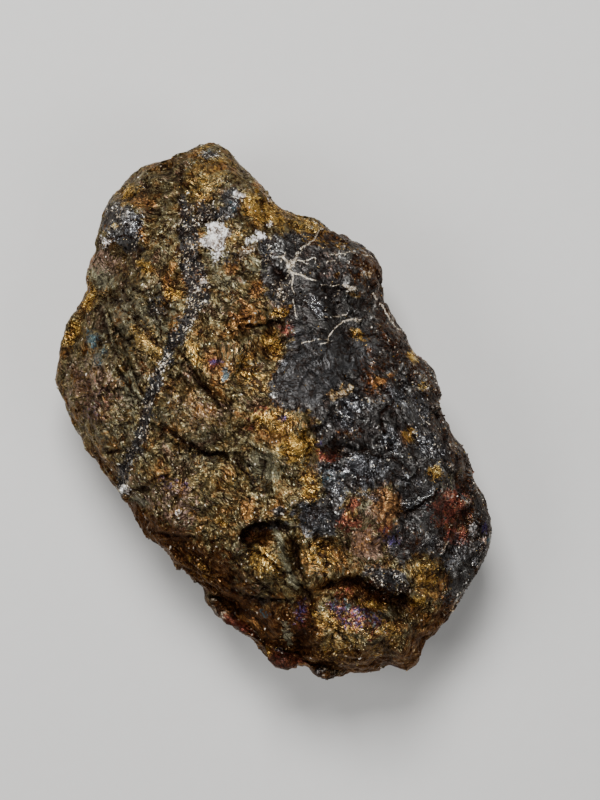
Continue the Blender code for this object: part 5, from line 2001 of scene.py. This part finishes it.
@dataclass(frozen=True)
class Studio:
    """A pale floor, soft light from the top of the view, and the camera straight over the face."""

    floor_size: float = 6.0
    floor_colour: Colour = (0.62, 0.61, 0.59)
    sky: Colour = (0.8, 0.82, 0.85)
    sky_strength: float = 0.22
    floor_mottle: float = 1.04
    floor_roughness: float = 0.8
    lens: float = 126.0
    sensor: float = 36.0
    clip: tuple[float, float] = (0.01, 20.0)
    lamps: tuple[Lamp, ...] = (
        Lamp("top_light", 100.0, 60.0, 0.9, 0.35, 11.0),
        Lamp("left_light", 185.0, 50.0, 1.1, 0.5, 5.0),
        Lamp("right_light", 330.0, 50.0, 1.2, 0.5, 3.5),
    )

    def floor(self) -> bpy.types.Object:
        """Makes the floor that the lump lies on.

        Returns:
            The floor.
        """
        paint = Paint("pale_floor")
        mottle = paint.noise(paint.place(), size=4.0, detail=3.0)
        light = tuple(min(1.0, c * self.floor_mottle) for c in self.floor_colour)
        paint.fill(paint.shader.inputs["Base Color"], paint.mix(mottle, self.floor_colour, light))
        paint.shader.inputs["Roughness"].default_value = self.floor_roughness
        square = np.array([(-1.0, -1.0, 0.0), (1.0, -1.0, 0.0), (1.0, 1.0, 0.0), (-1.0, 1.0, 0.0)])
        corners = square * self.floor_size / 2.0
        floor = mesh_object("floor", corners, np.array([(0, 1, 2, 3)]), {}, paint.material)
        return floor

    def camera(self, offset: Array) -> None:
        """Sets the camera over the face, with the plan's up at the top of the view.

        Args:
            offset: the plan's move to the part's own place.
        """
        eye = to_part(np.array([(*EYE_OVER, RIM_HEIGHT + EYE_HEIGHT)]), offset)[0]
        across = Vector((math.cos(PLAN_TURN), -math.sin(PLAN_TURN), 0.0))
        up = Vector((math.sin(PLAN_TURN), math.cos(PLAN_TURN), 0.0))
        back = Vector((0.0, 0.0, 1.0))
        data = bpy.data.cameras.new("camera")
        data.sensor_width = self.sensor
        data.lens = self.lens
        data.clip_start, data.clip_end = self.clip
        camera = bpy.data.objects.new("camera", data)
        camera.matrix_world = Matrix((
            (across.x, up.x, back.x, eye[0]), (across.y, up.y, back.y, eye[1]),
            (across.z, up.z, back.z, eye[2]), (0.0, 0.0, 0.0, 1.0),
        ))
        bpy.context.scene.collection.objects.link(camera)
        bpy.context.scene.camera = camera

    def world(self) -> None:
        """Even light from all round."""
        world = bpy.data.worlds.new("studio")
        world.use_nodes = True
        backdrop = world.node_tree.nodes["Background"]
        backdrop.inputs["Color"].default_value = (*self.sky, 1.0)
        backdrop.inputs["Strength"].default_value = self.sky_strength
        bpy.context.scene.world = world

    def build(self, offset: Array) -> None:
        """Sets up the floor, the lights and the camera.

        Args:
            offset: the plan's move to the part's own place.
        """
        self.floor()
        self.world()
        for lamp in self.lamps:
            lamp.place(Vector((0.0, 0.0, RIM_HEIGHT * MM)))
        self.camera(offset)


GRAINS: tuple[Grains, ...] = (
    Grains("brass_grains", 101, 24000, Shape.CRYSTAL, (0.22, 0.55), flatness=0.35, lean=0.25, proud=-0.3,
           wanted={Zone.GOLD: 0.8, Zone.RUST: 0.3, Zone.DARK: -0.95, Zone.QUARTZ: -1.0,
                   Zone.VEIN: -0.9, Zone.UMBER: -0.65},
           plain=0.8),
    Grains("sulphide_plates", 211, 12000, Shape.BLOCK, (0.35, 1.3), flatness=0.22, lean=0.34, proud=-0.6,
           wanted={Zone.DARK: 0.25, Zone.SILVER: 2.0, Zone.VEIN: 1.2, Zone.QUARTZ: -1.0,
                   Zone.SLATE: -0.8},
           clumped=0.85, slot="dark_sulphide"),
    Grains("quartz_crystals", 307, 1900, Shape.BLOCK, (0.4, 1.5), flatness=0.5, lean=0.45, proud=-0.3,
           wanted={Zone.QUARTZ: 1.0}, length=1.1, order=0.0, tones=(0.0, 1.05), slot="quartz"),
    Grains("pale_flecks", 401, 4500, Shape.BLOCK, (0.2, 0.75), flatness=0.5, lean=0.4, proud=-0.2,
           wanted={Zone.VEIN: 1.0, Zone.DARK: 0.01, Zone.SILVER: 0.15, Zone.CREAM: 1.0,
                   Zone.QUARTZ: -1.0, Zone.SLATE: -0.9},
           plain=0.02, own=Zone.CREAM, tones=(0.1, 1.1), clumped=0.9, slot="quartz"),
    Grains("gold_flecks", 503, 6000, Shape.CRYSTAL, (0.2, 0.55), flatness=0.5, lean=0.4, proud=0.0,
           wanted={Zone.GOLD: 1.0, Zone.DARK: 0.03, Zone.VEIN: 0.3, Zone.QUARTZ: -1.0,
                   Zone.SLATE: -0.9},
           plain=0.05, own=Zone.GOLD, clumped=0.6),
    Threads("calcite_threads", 601, 7000, Shape.BLOCK, (0.09, 0.3), flatness=0.6, lean=0.4, proud=0.0,
            wanted={}, own=Zone.CREAM, tones=(0.3, 1.2), slot="quartz", lines=THREADS, gaps=-0.4),
    Threads("silver_needles", 607, 3000, Shape.BLOCK, (0.1, 0.34), flatness=0.6, lean=0.6, proud=0.1,
            wanted={}, own=Zone.SILVER, tones=(0.5, 1.5), slot="dark_sulphide", lines=NEEDLES,
            gaps=-0.2),
    # Dark grains along the cracks: painted shade in them.
    Threads("crack_shade_grains", 701, 9000, Shape.BLOCK, (0.16, 0.4), flatness=0.5, lean=0.3, proud=0.1,
            wanted={}, own=Zone.UMBER, tones=(0.0, 0.15), slot="dark_sulphide", gaps=-0.2,
            lines=tuple(Streak(crack.points, crack.half_width, crack.depth) for crack in CRACKS)),
)


def main() -> None:
    """Builds the lump, its grains and the studio."""
    body = OreBody()
    skin = body.skin()
    turned = to_part(skin.points, np.zeros(3)) / MM
    middle = (turned.min(axis=0) + turned.max(axis=0)) / 2.0
    offset = np.array([-middle[0], -middle[1], 0.0])
    lump = body.build(skin, offset, OreFinish("ore").material())
    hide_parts(CAD_NODE)
    pieces = {lump: "ore"}
    grain_finish = OreFinish("ore_grains", sorted_grains=True, gloss=0.6).material()
    for grains in GRAINS:
        pieces[grains.build(skin, offset, grain_finish)] = grains.slot
    for piece, slot in pieces.items():
        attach(piece, "root")
        LOG.info("%s: %d faces", piece.name, len(piece.data.polygons))
    Studio().build(offset)


if __name__ == "__main__":
    logging.basicConfig(level=logging.INFO, format="%(message)s")
    main()
